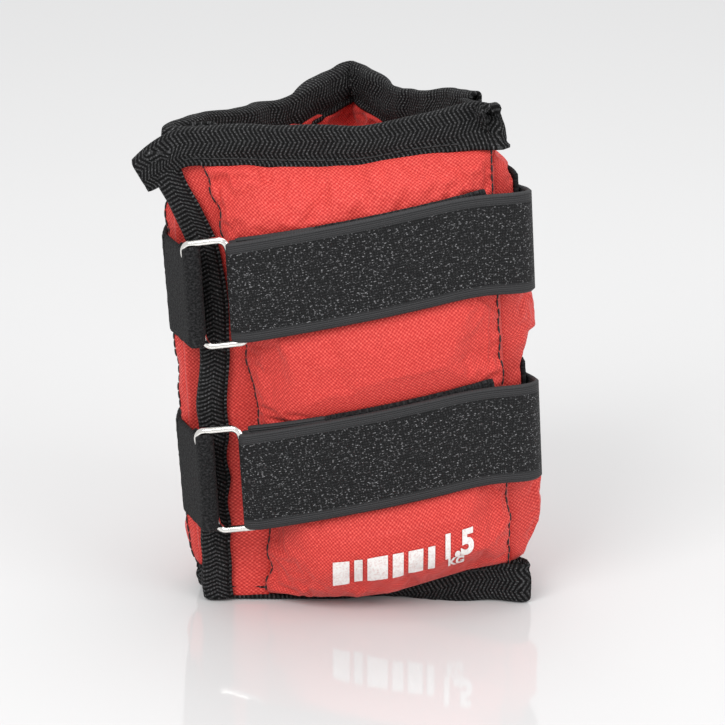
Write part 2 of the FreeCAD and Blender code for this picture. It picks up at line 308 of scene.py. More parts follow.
@dataclass
class Cloth:
    """A layer of fabric with a shown face, a back and a rounded rim, on an n by m grid in millimetres."""

    name: str
    face: Array
    thickness: float
    rim: float = 0.45
    back: Array | None = None

    def build(self, place: Callable[[Array], Array], material: bpy.types.Material) -> bpy.types.Object:
        """Makes the closed mesh, with a UV map in millimetres of cloth.

        Args:
            place: moves points to the row frame.
            material: the finish.

        Returns:
            The linked object.
        """
        n, m, _ = self.face.shape
        normals = grid_normals(self.face)
        back = self.back if self.back is not None else self.face - normals * self.thickness
        ring = border(n, m)
        face, rear = self.face.reshape(-1, 3), back.reshape(-1, 3)
        edge = (face[ring] + rear[ring]) / 2.0
        run = np.roll(edge, -1, 0) - np.roll(edge, 1, 0)
        outward = unit(np.cross(run, normals.reshape(-1, 3)[ring]))
        edge = edge + outward * self.thickness * self.rim
        points = place(np.concatenate([face, rear, edge]))
        points[:, 2] = np.maximum(points[:, 2], 0.05 * MM)
        count = n * m
        i, j = np.meshgrid(np.arange(n - 1), np.arange(m - 1), indexing="ij")
        a = (i * m + j).ravel()
        quads = np.stack([a, a + m, a + m + 1, a + 1], -1)
        r = np.array(ring)
        r2 = np.roll(r, -1)
        e = 2 * count + np.arange(len(ring))
        e2 = np.roll(e, -1)
        front_rim = np.stack([r2, r, e, e2], -1)
        back_rim = np.stack([e2, e, r + count, r2 + count], -1)
        faces = np.concatenate([quads, quads[:, ::-1] + count, front_rim, back_rim])
        u = np.concatenate([[0.0], np.cumsum(np.linalg.norm(np.diff(self.face, axis=0), axis=2).mean(1))])
        v = np.concatenate([[0.0], np.cumsum(np.linalg.norm(np.diff(self.face, axis=1), axis=2).mean(0))])
        uv = np.stack(np.meshgrid(u, v, indexing="ij"), -1).reshape(-1, 2)
        uv = np.concatenate([uv, uv, uv[ring]])
        return mesh_object(self.name, points, faces, material, uv)


def mesh_object(name: str, points: Array, faces: Array, material: bpy.types.Material,
                uv: Array | None = None) -> bpy.types.Object:
    """Links a smooth mesh object with its material and, if given, a UV map.

    Args:
        name: piece name.
        points: vertices in the row frame, in metres.
        faces: rows of vertex indices.
        material: the finish.
        uv: one UV for each vertex.

    Returns:
        The new object.
    """
    mesh = bpy.data.meshes.new(name)
    mesh.from_pydata(points.tolist(), [], faces.tolist())
    if uv is not None:
        layer = mesh.uv_layers.new(name="Cloth")
        corners = np.zeros(len(mesh.loops), np.int32)
        mesh.loops.foreach_get("vertex_index", corners)
        layer.data.foreach_set("uv", uv[corners].astype(np.float32).ravel())
    mesh.polygons.foreach_set("use_smooth", [True] * len(mesh.polygons))
    mesh.update()
    mesh.materials.append(material)
    made = bpy.data.objects.new(name, mesh)
    bpy.context.scene.collection.objects.link(made)
    return made


# ---------------------------------------------------------------- shader building

class Wire:
    """A shader value that can be used in expressions."""

    def __init__(self, shader: "Shader", socket: bpy.types.NodeSocket) -> None:
        """Wraps one output socket of a shader."""
        self.shader = shader
        self.socket = socket

    def math(self, operation: str, *others: "Wire | float") -> "Wire":
        """One Math node on this value and others."""
        return self.shader.node("ShaderNodeMath", {"operation": operation}, [self, *others])

    def __add__(self, other: "Wire | float") -> "Wire":
        """Sum."""
        return self.math("ADD", other)

    __radd__ = __add__

    def __mul__(self, other: "Wire | float") -> "Wire":
        """Product."""
        return self.math("MULTIPLY", other)

    __rmul__ = __mul__

    def __sub__(self, other: "Wire | float") -> "Wire":
        """Difference."""
        return self.math("SUBTRACT", other)

    def __rsub__(self, other: float) -> "Wire":
        """A number less this value."""
        return self.shader.node("ShaderNodeMath", {"operation": "SUBTRACT"}, [other, self])

    def __truediv__(self, other: "Wire | float") -> "Wire":
        """Quotient."""
        return self.math("DIVIDE", other)

    def wave(self) -> "Wire":
        """Sine of this many turns."""
        return (self * (2.0 * math.pi)).math("SINE")

    def between(self, low: float, high: float) -> "Wire":
        """0 below low, 1 above high and smooth between them."""
        settings = {"interpolation_type": "SMOOTHSTEP"}
        return self.shader.node("ShaderNodeMapRange", settings, [self, low, high, 0.0, 1.0])


class Shader:
    """Builds one material's nodes."""

    def __init__(self, name: str, **constants: float | tuple[float, ...]) -> None:
        """Makes a material with a Principled shader.

        Args:
            name: the material's name.
            constants: values for the shader's own sockets, with _ for a space.
        """
        self.material = bpy.data.materials.new(name)
        self.material.use_nodes = True
        self.tree = self.material.node_tree
        self.surface = self.tree.nodes["Principled BSDF"]
        for key, value in constants.items():
            self.surface.inputs[key.replace("_", " ")].default_value = value

    def node(self, kind: str, settings: dict | None = None, inputs: list | dict | None = None,
             output: int | str = 0) -> Wire:
        """Adds a node.

        Args:
            kind: the node's type.
            settings: its properties, set first.
            inputs: values or wires for its sockets, by order or by name or index.
            output: which output to return.

        Returns:
            That output.
        """
        made = self.tree.nodes.new(kind)
        for key, value in (settings or {}).items():
            setattr(made, key, value)
        pairs = inputs.items() if isinstance(inputs, dict) else enumerate(inputs or [])
        for key, value in pairs:
            if isinstance(value, Wire):
                self.tree.links.new(value.socket, made.inputs[key])
            else:
                made.inputs[key].default_value = value
        return Wire(self, made.outputs[output])

    def uv(self) -> tuple[Wire, Wire, Wire]:
        """The cloth's UV in millimetres: the vector, u and v."""
        vector = self.node("ShaderNodeUVMap", {"uv_map": "Cloth"})
        return vector, *self.split(vector)

    def split(self, vector: Wire) -> tuple[Wire, Wire]:
        """First two parts of a vector."""
        parts = self.node("ShaderNodeSeparateXYZ", None, [vector])
        return parts, Wire(self, parts.socket.node.outputs[1])

    def noise(self, vector: Wire, scale: float, detail: float = 2.0, roughness: float = 0.5) -> Wire:
        """Noise texture from 0 to 1."""
        values = {"Vector": vector, "Scale": scale, "Detail": detail, "Roughness": roughness}
        return self.node("ShaderNodeTexNoise", None, values)

    def place(self) -> Wire:
        """Object coordinates."""
        return self.node("ShaderNodeTexCoord", None, None, "Object")

    def blend(self, factor: Wire | float, a: Wire | tuple, b: Wire | tuple) -> Wire:
        """Mix of two colours."""
        values = {0: factor, 6: a, 7: b}
        return self.node("ShaderNodeMix", {"data_type": "RGBA"}, values, 2)

    def feed(self, **inputs: Wire) -> None:
        """Connects wires to the shader's sockets, with _ for a space."""
        for key, wire in inputs.items():
            self.tree.links.new(wire.socket, self.surface.inputs[key.replace("_", " ")])

    def bump(self, height: Wire, depth: float, strength: float = 1.0) -> None:
        """Bump of a height from 0 to 1, whose full depth is in metres."""
        values = {"Strength": strength, "Distance": depth, "Height": height}
        self.feed(Normal=self.node("ShaderNodeBump", None, values))


def rgb(red: float, green: float, blue: float) -> tuple[float, float, float, float]:
    """Opaque linear colour."""
    return red, green, blue, 1.0


@dataclass(frozen=True)
class OxfordCloth:
    """Coarse plain-woven polyester: threads catch the light in a diagonal of small specks."""

    name: str
    shade: tuple[float, ...]
    # thread: colour of the painted highlight that the threads catch in the specks
    thread: tuple[float, ...]
    weave: float = 1.22
    gloss: float = 0.5

    def make(self) -> bpy.types.Material:
        """Builds the material."""
        s = Shader(self.name, Specular_IOR_Level=0.45, Sheen_Weight=0.12, Sheen_Roughness=0.4)
        vector, u, v = s.uv()
        warp = s.noise(vector, 0.35, 3.0) * 0.9 + s.noise(vector, 1.6, 1.0) * 0.25
        a = (u + warp) / self.weave
        b = (v - warp) / self.weave
        specks = a.wave() * b.wave() * 0.5 + 0.5
        uneven = s.noise(vector, 1.1, 2.0).between(0.3, 0.75)
        shown = specks.between(0.15, 0.95) * (uneven * 0.6 + 0.4)
        broad = s.noise(s.place(), 38.0, 3.0).between(0.3, 0.7)
        deep = s.blend(broad * 0.35, self.shade, tuple(c * 0.82 for c in self.shade[:3]) + (1.0,))
        # Painted highlight: the speck mask mixes the lighter thread colour over the base, as light caught on
        # the thread crowns; the broad darker mottle is random tone.
        s.feed(Base_Color=s.blend(shown, deep, self.thread), Roughness=self.gloss + 0.22 - shown * 0.2)
        s.bump(specks * 0.8 + s.noise(vector, 2.6, 2.0) * 0.35, 0.00022, 0.8)
        return s.material


@dataclass(frozen=True)
class BindingWeb:
    """Black herringbone webbing: short slanted ribs in rows that turn back and forth."""

    name: str = "binding_web"
    rib: float = 1.35
    row: float = 3.6
    slant: float = 1.5

    def make(self) -> bpy.types.Material:
        """Builds the material."""
        s = Shader(self.name, Specular_IOR_Level=0.14, Sheen_Weight=0.01, Sheen_Roughness=0.5)
        vector, u, v = s.uv()
        jitter = s.noise(vector, 0.9, 2.0) * 0.5
        zigzag = (v / self.row).math("PINGPONG", 1.0) * self.slant
        ribs = (u / self.rib + zigzag + jitter).wave() * 0.5 + 0.5
        breaks = (v / 0.9 + jitter).wave() * 0.5 + 0.5
        knit = ribs.between(0.25, 0.9) * (breaks * 0.55 + 0.45)
        glint = s.noise(vector, 2.2, 1.0).between(0.45, 0.72)
        lit = knit * (glint * 0.75 + 0.25)
        s.feed(Base_Color=s.blend(lit, rgb(0.002, 0.002, 0.0022), rgb(0.14, 0.141, 0.144)),
               Roughness=0.75 - lit * 0.3)
        s.bump(knit + glint * 0.25, 0.00045, 0.9)
        return s.material


@dataclass(frozen=True)
class HookBack:
    """Back of hook tape: fine black weave with bright specks, which are painted glints, and plain ribbed
    edges.
    """

    name: str = "hook_tape_back"
    width: float = 30.0
    selvedge: float = 2.6

    def make(self) -> bpy.types.Material:
        """Builds the material."""
        s = Shader(self.name, Specular_IOR_Level=0.22, Sheen_Weight=0.02, Sheen_Roughness=0.4)
        vector, u, v = s.uv()
        middle = (v - self.width / 2.0).math("ABSOLUTE")
        edge = middle.between(self.width / 2.0 - self.selvedge - 0.3, self.width / 2.0 - self.selvedge + 0.3)
        stretched = s.node("ShaderNodeMapping", None, {0: vector, 3: (0.75, 1.5, 1.0)})
        cells = s.node("ShaderNodeTexVoronoi", None, {"Vector": stretched, "Scale": 1.6, "Randomness": 0.85})
        core = 1.0 - cells.between(0.12, 0.5)
        rows = (v / 0.85).wave() * 0.5 + 0.5
        # Painted glint: this noise picks the specks that catch the light.
        bright = s.noise(vector, 1.1, 2.0).between(0.42, 0.66)
        specks = core * bright * (1.0 - edge)
        lines = (v / 0.62).wave() * 0.5 + 0.5
        grain = (u / 0.8 + s.noise(vector, 1.0, 1.0)).wave() * 0.5 + 0.5
        ground = s.blend(edge * (lines * 0.6 + 0.4), rgb(0.0035, 0.0035, 0.004), rgb(0.045, 0.045, 0.047))
        body = s.blend(rows * grain * 0.5, ground, rgb(0.028, 0.029, 0.03))
        # The grey that the speck mask mixes in is a painted glint, not the tape's own colour.
        s.feed(Base_Color=s.blend(specks, body, rgb(0.30, 0.30, 0.31)), Roughness=0.66 - specks * 0.3)
        s.bump(core * 0.5 * (1.0 - edge) + rows * 0.3 + grain * 0.2 + lines * edge * 0.5, 0.00035, 0.8)
        return s.material


@dataclass(frozen=True)
class LoopPile:
    """Brushed loop tape, a matt black fuzz."""

    name: str = "loop_pile"

    def make(self) -> bpy.types.Material:
        """Builds the material."""
        s = Shader(self.name, Specular_IOR_Level=0.1, Sheen_Weight=0.03, Sheen_Roughness=0.7)
        vector, _, _ = s.uv()
        fuzz = s.noise(vector, 1.5, 4.0, 0.75)
        tufts = s.node("ShaderNodeTexVoronoi", None, {"Vector": vector, "Scale": 1.1})
        # The noise mixes a lighter grey into the black: partly random tone of the fuzz, partly painted sheen
        # on the raised fibres.
        s.feed(Base_Color=s.blend(fuzz.between(0.4, 0.75), rgb(0.004, 0.004, 0.0045), rgb(0.05, 0.05, 0.052)),
               Roughness=0.86 + fuzz * 0.12)
        s.bump(fuzz * 0.8 + tufts * 0.4, 0.0006, 0.9)
        return s.material


@dataclass(frozen=True)
class PlatedWire:
    """Bright nickel plating with faint drawn marks."""

    name: str = "nickel_wire"

    def make(self) -> bpy.types.Material:
        """Builds the material."""
        s = Shader(self.name, Metallic=1.0)
        marks = s.noise(s.place(), 900.0, 4.0, 0.7)
        cloudy = s.noise(s.place(), 160.0, 2.0)
        s.feed(Base_Color=s.blend(cloudy, rgb(0.78, 0.76, 0.72), rgb(0.90, 0.89, 0.86)),
               Roughness=marks * 0.12 + 0.10)
        s.bump(marks, 0.00003, 0.4)
        return s.material


@dataclass(frozen=True)
class SewingThread:
    """Black twisted thread."""

    name: str = "sewing_thread"

    def make(self) -> bpy.types.Material:
        """Builds the material."""
        s = Shader(self.name, Specular_IOR_Level=0.35)
        twist = s.noise(s.place(), 3500.0, 2.0)
        s.feed(Base_Color=s.blend(twist, rgb(0.006, 0.006, 0.006), rgb(0.04, 0.04, 0.042)),
               Roughness=twist * 0.2 + 0.6)
        s.bump(twist, 0.00008)
        return s.material


@dataclass(frozen=True)
class PrintInk:
    """White ink on the weave, a little broken over the threads."""

    name: str = "print_ink"

    def make(self) -> bpy.types.Material:
        """Builds the material."""
        s = Shader(self.name, Specular_IOR_Level=0.4)
        grain = s.noise(s.place(), 1400.0, 3.0, 0.7)
        s.feed(Base_Color=s.blend(grain.between(0.25, 0.6), rgb(0.72, 0.55, 0.53), rgb(0.86, 0.85, 0.83)),
               Roughness=grain * 0.2 + 0.5)
        s.bump(grain, 0.00012)
        return s.material


@dataclass(frozen=True)
class BagFilm:
    """Thin grey film, creased."""

    name: str = "bag_film"

    def make(self) -> bpy.types.Material:
        """Builds the material."""
        s = Shader(self.name, Specular_IOR_Level=0.5)
        creases = s.noise(s.place(), 120.0, 4.0, 0.6)
        # The grey is darker where the crease noise is low, in the bump's valleys: painted shade in the
        # creases.
        s.feed(Base_Color=s.blend(creases, rgb(0.55, 0.55, 0.56), rgb(0.78, 0.78, 0.78)),
               Roughness=creases * 0.3 + 0.2)
        s.bump(creases, 0.0008)
        return s.material


@dataclass(frozen=True)
class IronSand:
    """Dark loose grains."""

    name: str = "iron_sand"

    def make(self) -> bpy.types.Material:
        """Builds the material."""
        s = Shader(self.name, Metallic=0.6)
        grains = s.node("ShaderNodeTexVoronoi", None, {"Vector": s.place(), "Scale": 1500.0})
        s.feed(Base_Color=s.blend(grains, rgb(0.05, 0.045, 0.04), rgb(0.22, 0.2, 0.19)),
               Roughness=grains * 0.3 + 0.4)
        s.bump(grains, 0.0004)
        return s.material


@dataclass(frozen=True)
class FloorSheen:
    """Pale studio floor with a faint reflection."""

    name: str = "studio_floor"

    def make(self) -> bpy.types.Material:
        """Builds the material."""
        s = Shader(self.name, Specular_IOR_Level=0.5, Roughness=0.06)
        haze = s.noise(s.place(), 3.0, 2.0)
        s.feed(Base_Color=s.blend(haze, rgb(0.665, 0.665, 0.665), rgb(0.68, 0.68, 0.68)))
        return s.material


@dataclass
class Finishes:
    """Every finish of the cuff, made once."""

    cover: bpy.types.Material = field(default_factory=lambda: OxfordCloth(
        "oxford_cover", rgb(0.50, 0.016, 0.014), rgb(0.93, 0.115, 0.085)).make())
    lining: bpy.types.Material = field(default_factory=lambda: OxfordCloth(
        "oxford_lining", rgb(0.46, 0.014, 0.012), rgb(0.80, 0.08, 0.06), 1.0, 0.6).make())
    binding: bpy.types.Material = field(default_factory=lambda: BindingWeb().make())
    hook: bpy.types.Material = field(default_factory=lambda: HookBack().make())
    loop: bpy.types.Material = field(default_factory=lambda: LoopPile().make())
    wire: bpy.types.Material = field(default_factory=lambda: PlatedWire().make())
    thread: bpy.types.Material = field(default_factory=lambda: SewingThread().make())
    ink: bpy.types.Material = field(default_factory=lambda: PrintInk().make())
    film: bpy.types.Material = field(default_factory=lambda: BagFilm().make())
    sand: bpy.types.Material = field(default_factory=lambda: IronSand().make())


# ---------------------------------------------------------------- stitches and rings by Geometry Nodes

class NodeRecipe:
    """A Geometry Nodes tree with named inputs, turned into a plain mesh when it is used."""

    def __init__(self, name: str) -> None:
        """Makes an empty tree with a geometry input and output."""
        self.tree = bpy.data.node_groups.new(name, "GeometryNodeTree")
        self.tree.interface.new_socket("Geometry", in_out="INPUT", socket_type="NodeSocketGeometry")
        self.tree.interface.new_socket("Geometry", in_out="OUTPUT", socket_type="NodeSocketGeometry")
        self.entry = self.tree.nodes.new("NodeGroupInput")
        self.exit = self.tree.nodes.new("NodeGroupOutput")

    def value(self, name: str, default: float, kind: str = "NodeSocketFloat") -> bpy.types.NodeSocket:
        """Adds a named input and returns its socket inside the tree."""
        item = self.tree.interface.new_socket(name, in_out="INPUT", socket_type=kind)
        if kind != "NodeSocketMaterial":
            item.default_value = default
        return self.entry.outputs[name]

    def node(self, kind: str, settings: dict | None = None, **inputs: object) -> bpy.types.Node:
        """Adds a node; inputs are sockets or values, with _ for a space."""
        made = self.tree.nodes.new(kind)
        for key, value in (settings or {}).items():
            setattr(made, key, value)
        for key, value in inputs.items():
            socket = made.inputs[key.replace("_", " ")]
            if isinstance(value, bpy.types.NodeSocket):
                self.tree.links.new(value, socket)
            else:
                socket.default_value = value
        return made

    def finish(self, geometry: bpy.types.NodeSocket) -> None:
        """Ends the tree in Realize Instances and Set Material."""
        realized = self.node("GeometryNodeRealizeInstances", None, Geometry=geometry)
        smooth = self.node("GeometryNodeSetShadeSmooth", None, Geometry=realized.outputs[0])
        dressed = self.node("GeometryNodeSetMaterial", None, Geometry=smooth.outputs[0],
                            Material=self.value("Material", 0.0, "NodeSocketMaterial"))
        self.tree.links.new(dressed.outputs[0], self.exit.inputs[0])

    def make(self, name: str, mesh: bpy.types.Mesh, values: dict[str, object]) -> bpy.types.Object:
        """Runs the tree on a mesh and keeps the result as a plain mesh.

        Args:
            name: name of the piece.
            mesh: what the tree starts from.
            values: the tree's inputs by name.

        Returns:
            The linked object, with no modifier.
        """
        source = bpy.data.objects.new(f"{name}.source", mesh)
        bpy.context.scene.collection.objects.link(source)
        modifier = source.modifiers.new("recipe", "NODES")
        modifier.node_group = self.tree
        for item in self.tree.interface.items_tree:
            if item.in_out == "INPUT" and item.name in values:
                modifier[item.identifier] = values[item.name]
        evaluated = source.evaluated_get(bpy.context.evaluated_depsgraph_get())
        result = bpy.data.meshes.new_from_object(evaluated)
        result.name = name
        bpy.data.objects.remove(source)
        made = bpy.data.objects.new(name, result)
        bpy.context.scene.collection.objects.link(made)
        return made


class StitchRecipe(NodeRecipe):
    """Short rounded stitches laid end to end along lines."""

    def __init__(self) -> None:
        """Builds the tree."""
        super().__init__("stitch_row")
        pitch = self.value("Pitch", 0.003)
        share = self.value("Stitch share", 0.8)
        radius = self.value("Thread radius", 0.0003)
        line = self.node("GeometryNodeMeshToCurve", None, Mesh=self.entry.outputs["Geometry"])
        spaced = self.node("GeometryNodeResampleCurve", {"mode": "LENGTH"},
                           Curve=line.outputs[0], Length=pitch)
        bead = self.node("GeometryNodeMeshUVSphere", None, Segments=6, Rings=5, Radius=1.0)
        half = self.node("ShaderNodeMath", {"operation": "MULTIPLY"})
        self.tree.links.new(pitch, half.inputs[0])
        self.tree.links.new(share, half.inputs[1])
        halved = self.node("ShaderNodeMath", {"operation": "MULTIPLY"})
        self.tree.links.new(half.outputs[0], halved.inputs[0])
        halved.inputs[1].default_value = 0.5
        size = self.node("ShaderNodeCombineXYZ", None, X=radius, Y=radius, Z=halved.outputs[0])
        tangent = self.node("GeometryNodeInputTangent")
        turn = self.node("FunctionNodeAlignRotationToVector", {"axis": "Z"}, Vector=tangent.outputs[0])
        rows = self.node("GeometryNodeInstanceOnPoints", None, Points=spaced.outputs[0],
                         Instance=bead.outputs[0], Rotation=turn.outputs[0], Scale=size.outputs[0])
        self.finish(rows.outputs[0])


class RingRecipe(NodeRecipe):
    """A rounded rectangle of round wire, butt-welded on one long bar."""

    def __init__(self) -> None:
        """Builds the tree."""
        super().__init__("wire_ring")
        width = self.value("Width", 0.014)
        height = self.value("Height", 0.0328)
        corner = self.value("Corner radius", 0.0026)
        radius = self.value("Wire radius", 0.0011)
        frame_line = self.node("GeometryNodeCurvePrimitiveQuadrilateral", None, Width=width, Height=height)
        rounded = self.node("GeometryNodeFilletCurve", {"mode": "POLY"}, Curve=frame_line.outputs[0],
                            Radius=corner, Count=9)
        spaced = self.node("GeometryNodeResampleCurve", {"mode": "LENGTH"},
                           Curve=rounded.outputs[0], Length=0.0004)
        section = self.node("GeometryNodeCurvePrimitiveCircle", None, Resolution=20, Radius=radius)
        tube = self.node("GeometryNodeCurveToMesh", None,
                         Curve=spaced.outputs[0], Profile_Curve=section.outputs[0])
        self.finish(tube.outputs[0])


@dataclass
class Sewing:
    """Rows of stitches on the cuff."""

    thread: bpy.types.Material
    recipe: StitchRecipe = field(default_factory=StitchRecipe)
    pitch: float = 2.8
    radius: float = 0.32

    def row(self, name: str, lines: list[Array], share: float = 1.0) -> bpy.types.Object:
        """Sews along lines given in the row frame, in metres.

        Args:
            name: name of the piece.
            lines: polylines, each an array of points.
            share: part of the pitch that shows as thread.

        Returns:
            The row of stitches.
        """
        mesh = bpy.data.meshes.new(name)
        points: list[list[float]] = []
        edges: list[tuple[int, int]] = []
        for line in lines:
            first = len(points)
            points += line.tolist()
            edges += [(first + k, first + k + 1) for k in range(len(line) - 1)]
        mesh.from_pydata(points, edges, [])
        values = {"Pitch": self.pitch * MM, "Stitch share": share, "Thread radius": self.radius * MM,
                  "Material": self.thread}
        return self.recipe.make(name, mesh, values)


# ---------------------------------------------------------------- the sand pockets

@dataclass(frozen=True)
class StrapLine:
    """Where the middle of a strap runs on one pocket: its height at the start and at the end."""

    start: float
    end: float

    def height(self, share: Array) -> Array:
        """Height at a share of the pocket's length."""
        return self.start + (self.end - self.start) * share


@dataclass
class SandPocket:
    """One filled pocket: woven cover outside, lining inside, and the bag of sand between them."""

    tube: Tube
    pocket: Pocket
    straps: list[StrapLine]
    outer_bulge: float = 14.0
    shoulder: float = 2.4
    fullness: float = 2.4
    inner_bulge: float = 7.5
    binding_cover: float = 12.5
    tuck: float = 5.0
    cover_thickness: float = 0.8
    lining_thickness: float = 0.6
    sewn_half_length: float = 5.5
    sewn_depth: float = 14.2
    tape_half: float = 15.0
    columns: int = 64
    rows: int = 104
    cover: Array = field(init=False)
    lining: Array = field(init=False)

    def left(self, z: Array) -> Array:
        """First seam, which the ring pulls in on the front pocket."""
        if self.pocket is not Pocket.FRONT:
            return np.zeros_like(z)
        return curve_through([0, 26, 60, 90, 120, 136, 156], [7.5, 10.5, 10.0, 6.5, 2.8, 0.4, -6.0], z)

    def lower(self, x: Array) -> Array:
        """Height of the lower end stitching."""
        if self.pocket is not Pocket.FRONT:
            return np.full_like(x, self.binding_cover) + 0.3 * np.sin(x / 9.0)
        return self.tube.floor(x) + 2.0 + (self.binding_cover - 2.2) * ease(x, 30.0, 82.0)

    def upper(self, x: Array) -> Array:
        """Height of the upper end stitching."""
        base = self.tube.height - self.binding_cover
        if self.pocket is Pocket.FRONT:
            return base + curve_through([-8, 3, 24, 45, 62, 85], [1.5, 2.2, 0.8, 0.4, 2.2, 1.8], x)
        return base + 0.8 * np.sin(x / 11.0)

    def tucked(self, x: Array) -> Array:
        """Turn of the lower edge under the cuff, in radians."""
        if self.pocket is not Pocket.FRONT:
            return np.zeros_like(x)
        return math.radians(82.0) * (1.0 - ease(x, 28.0, 74.0))

    def sewn_limit(self, x: Array) -> Array:
        """Depth of the under side of the tapes sewn along the pocket."""
        half = self.tube.pitch / 2.0
        share = (x - half) / (half + self.sewn_half_length)
        return self.sewn_depth * np.sqrt(np.clip(1 - share ** 2, 0, 1))

    def held(self, share: Array, x: Array, z: Array, depth: Array) -> Array:
        """Keeps the cover under the straps, and lets it swell beyond their edges."""
        for strap in self.straps:
            off = np.abs(z - strap.height(share))
            limit = self.sewn_limit(x) - 0.35 + 0.42 * np.clip(off - self.tape_half, 0, None)
            depth = np.where(off < self.tape_half + 9.0, np.minimum(depth, limit), depth)
        return depth

    def grid(self, outer: bool) -> Array:
        """One side of the filled pocket before it is stuffed.

        Args:
            outer: the outer side, or the leg side.

        Returns:
            Grid in the pocket's frame, along the pocket by height.
        """
        t = np.linspace(0, 1, self.columns)
        share = 0.45 * t + 0.55 * (0.5 - 0.5 * np.cos(math.pi * t))
        level = np.linspace(0, 1, self.rows)
        s, r = np.meshgrid(share, level, indexing="ij")
        x = s * self.tube.pitch
        low, high = self.lower(x), self.upper(x)
        edge = self.tuck / (high - low + 2 * self.tuck)
        body = np.clip((r - edge) / (1 - 2 * edge), 0, 1)
        z = low + (high - low) * body
        under = np.clip(edge - r, 0, None) / edge * self.tuck
        over = np.clip(r - (1 - edge), 0, None) / edge * self.tuck
        x = self.left(z) + s * (self.tube.pitch - self.left(z))
        foot, head = (15.0, 30.0) if outer else (24.0, 30.0)
        up = np.clip((z - low) / foot, 0, 1)
        down = np.clip((high - z) / head, 0, 1)
        ends = np.sqrt(np.clip(1 - (1 - up) ** 2, 0, 1)) * np.sqrt(np.clip(1 - (1 - down) ** 2, 0, 1))
        across = np.abs(2 * s - 1)
        if outer:
            full = self.shoulder + (self.fullness - self.shoulder) * ease(s, 0.3, 0.7)
            section = np.sqrt(np.clip(1 - across ** full, 0, 1))
            sag = 1.0 + 0.10 * ease(1 - z / self.tube.height, 0.35, 0.9)
            depth = self.held(s, x, z, self.outer_bulge * section * ends * sag) * 0.97
        else:
            depth = self.inner_bulge * (1 - across ** 2) * ends * 0.97
        side = -1.0 if outer else 1.0
        skin = self.cover_thickness if outer else self.lining_thickness
        turn = self.tucked(x)
        y = side * (depth + skin) + under * np.sin(turn)
        z = z - under * np.cos(turn) + over
        y[0], y[-1] = side * 0.05, side * 0.05
        return np.stack([x, y, z], -1)

    def stuff(self, grid: Array, cap: float, pressure: float) -> Array:
        """Lets the sand press the fabric out between its seams and straps.

        Args:
            grid: one side of the pocket, in millimetres.
            cap: furthest that a point may move.
            pressure: cloth pressure.

        Returns:
            The pressed-out grid.
        """
        n, m, _ = grid.shape
        i, j = np.meshgrid(np.arange(n - 1), np.arange(m - 1), indexing="ij")
        a = (i * m + j).ravel()
        mesh = bpy.data.meshes.new("stuffing")
        quads = np.stack([a, a + m, a + m + 1, a + 1], -1)
        mesh.from_pydata((grid.reshape(-1, 3) * MM).tolist(), [], quads.tolist())
        body = bpy.data.objects.new("stuffing", mesh)
        bpy.context.scene.collection.objects.link(body)
        pinned = np.zeros((n, m), bool)
        pinned[:2], pinned[-2:], pinned[:, :5], pinned[:, -5:] = True, True, True, True
        if grid[n // 2, m // 2, 1] < 0:
            share = grid[..., 0] / self.tube.pitch
            for strap in self.straps:
                pinned |= np.abs(grid[..., 2] - strap.height(share)) < self.tape_half - 3.0
        group = body.vertex_groups.new(name="sewn")
        group.add(np.flatnonzero(pinned.ravel()).tolist(), 1.0, "REPLACE")
        press = body.modifiers.new("press", "CLOTH")
        settings = press.settings
        settings.quality = 6
        settings.mass = 0.15
        settings.tension_stiffness = settings.compression_stiffness = 12.0
        settings.shear_stiffness = 4.0
        settings.bending_stiffness = 0.12
        settings.tension_damping = settings.compression_damping = 8.0
        settings.vertex_group_mass = "sewn"
        settings.shrink_min = -0.045
        settings.use_pressure = True
        settings.uniform_pressure_force = pressure
        settings.effector_weights.gravity = 0.0
        press.collision_settings.use_collision = False
        press.point_cache.frame_start, press.point_cache.frame_end = 1, 20
        scene = bpy.context.scene
        for step in range(1, 21):
            scene.frame_set(step)
        evaluated = body.evaluated_get(bpy.context.evaluated_depsgraph_get())
        moved = np.zeros(n * m * 3)
        evaluated.data.vertices.foreach_get("co", moved)
        moved = moved.reshape(n, m, 3) / MM
        scene.frame_set(1)
        bpy.data.objects.remove(body)
        shift = moved - grid
        size = np.linalg.norm(shift, axis=-1, keepdims=True)
        shift *= np.minimum(1.0, cap / np.maximum(size, 1e-9))
        LOG.info("%s pocket side pressed out by up to %.2f mm", self.pocket.value, float(size.max()))
        return grid + shift

    def puckers(self, grid: Array, seed: int, strength: float) -> Array:
        """Adds the small gathers that the seams and end stitching draw into the cloth.

        Args:
            grid: a pressed-out side.
            seed: fixes the pattern.
            strength: height of the gathers, in millimetres.

        Returns:
            The gathered grid.
        """
        n, m, _ = grid.shape
        normals = grid_normals(grid)
        if grid[n // 2, m // 2, 1] > 0:
            normals = -normals
        left = lengths(grid[:, m // 2])
        near = np.minimum(left, left[-1] - left)[:, None]
        z = grid[..., 2]
        gather = ripple(np.stack([z * 1.0, grid[..., 0] * 0.16], -1), 9.0, seed)
        fade = np.exp(-near / 8.0) * np.clip(near / 1.5, 0, 1)
        low, high = self.lower(grid[..., 0]), self.upper(grid[..., 0])
        end = np.minimum(np.abs(z - low), np.abs(high - z))
        pleat = ripple(np.stack([grid[..., 0] * 1.0, z * 0.15], -1), 10.0, seed + 5)
        end_fade = np.exp(-end / 8.0) * np.clip(end / 1.5, 0, 1)
        drape = ripple(np.stack([grid[..., 0] * 0.8, z * 1.1], -1), 30.0, seed + 9)
        calm = np.clip(near / 6.0, 0, 1) * np.clip(end / 6.0, 0, 1)
        push = strength * (gather * fade + 0.8 * pleat * end_fade) + 0.28 * strength * drape * calm
        return grid + normals * push[..., None]

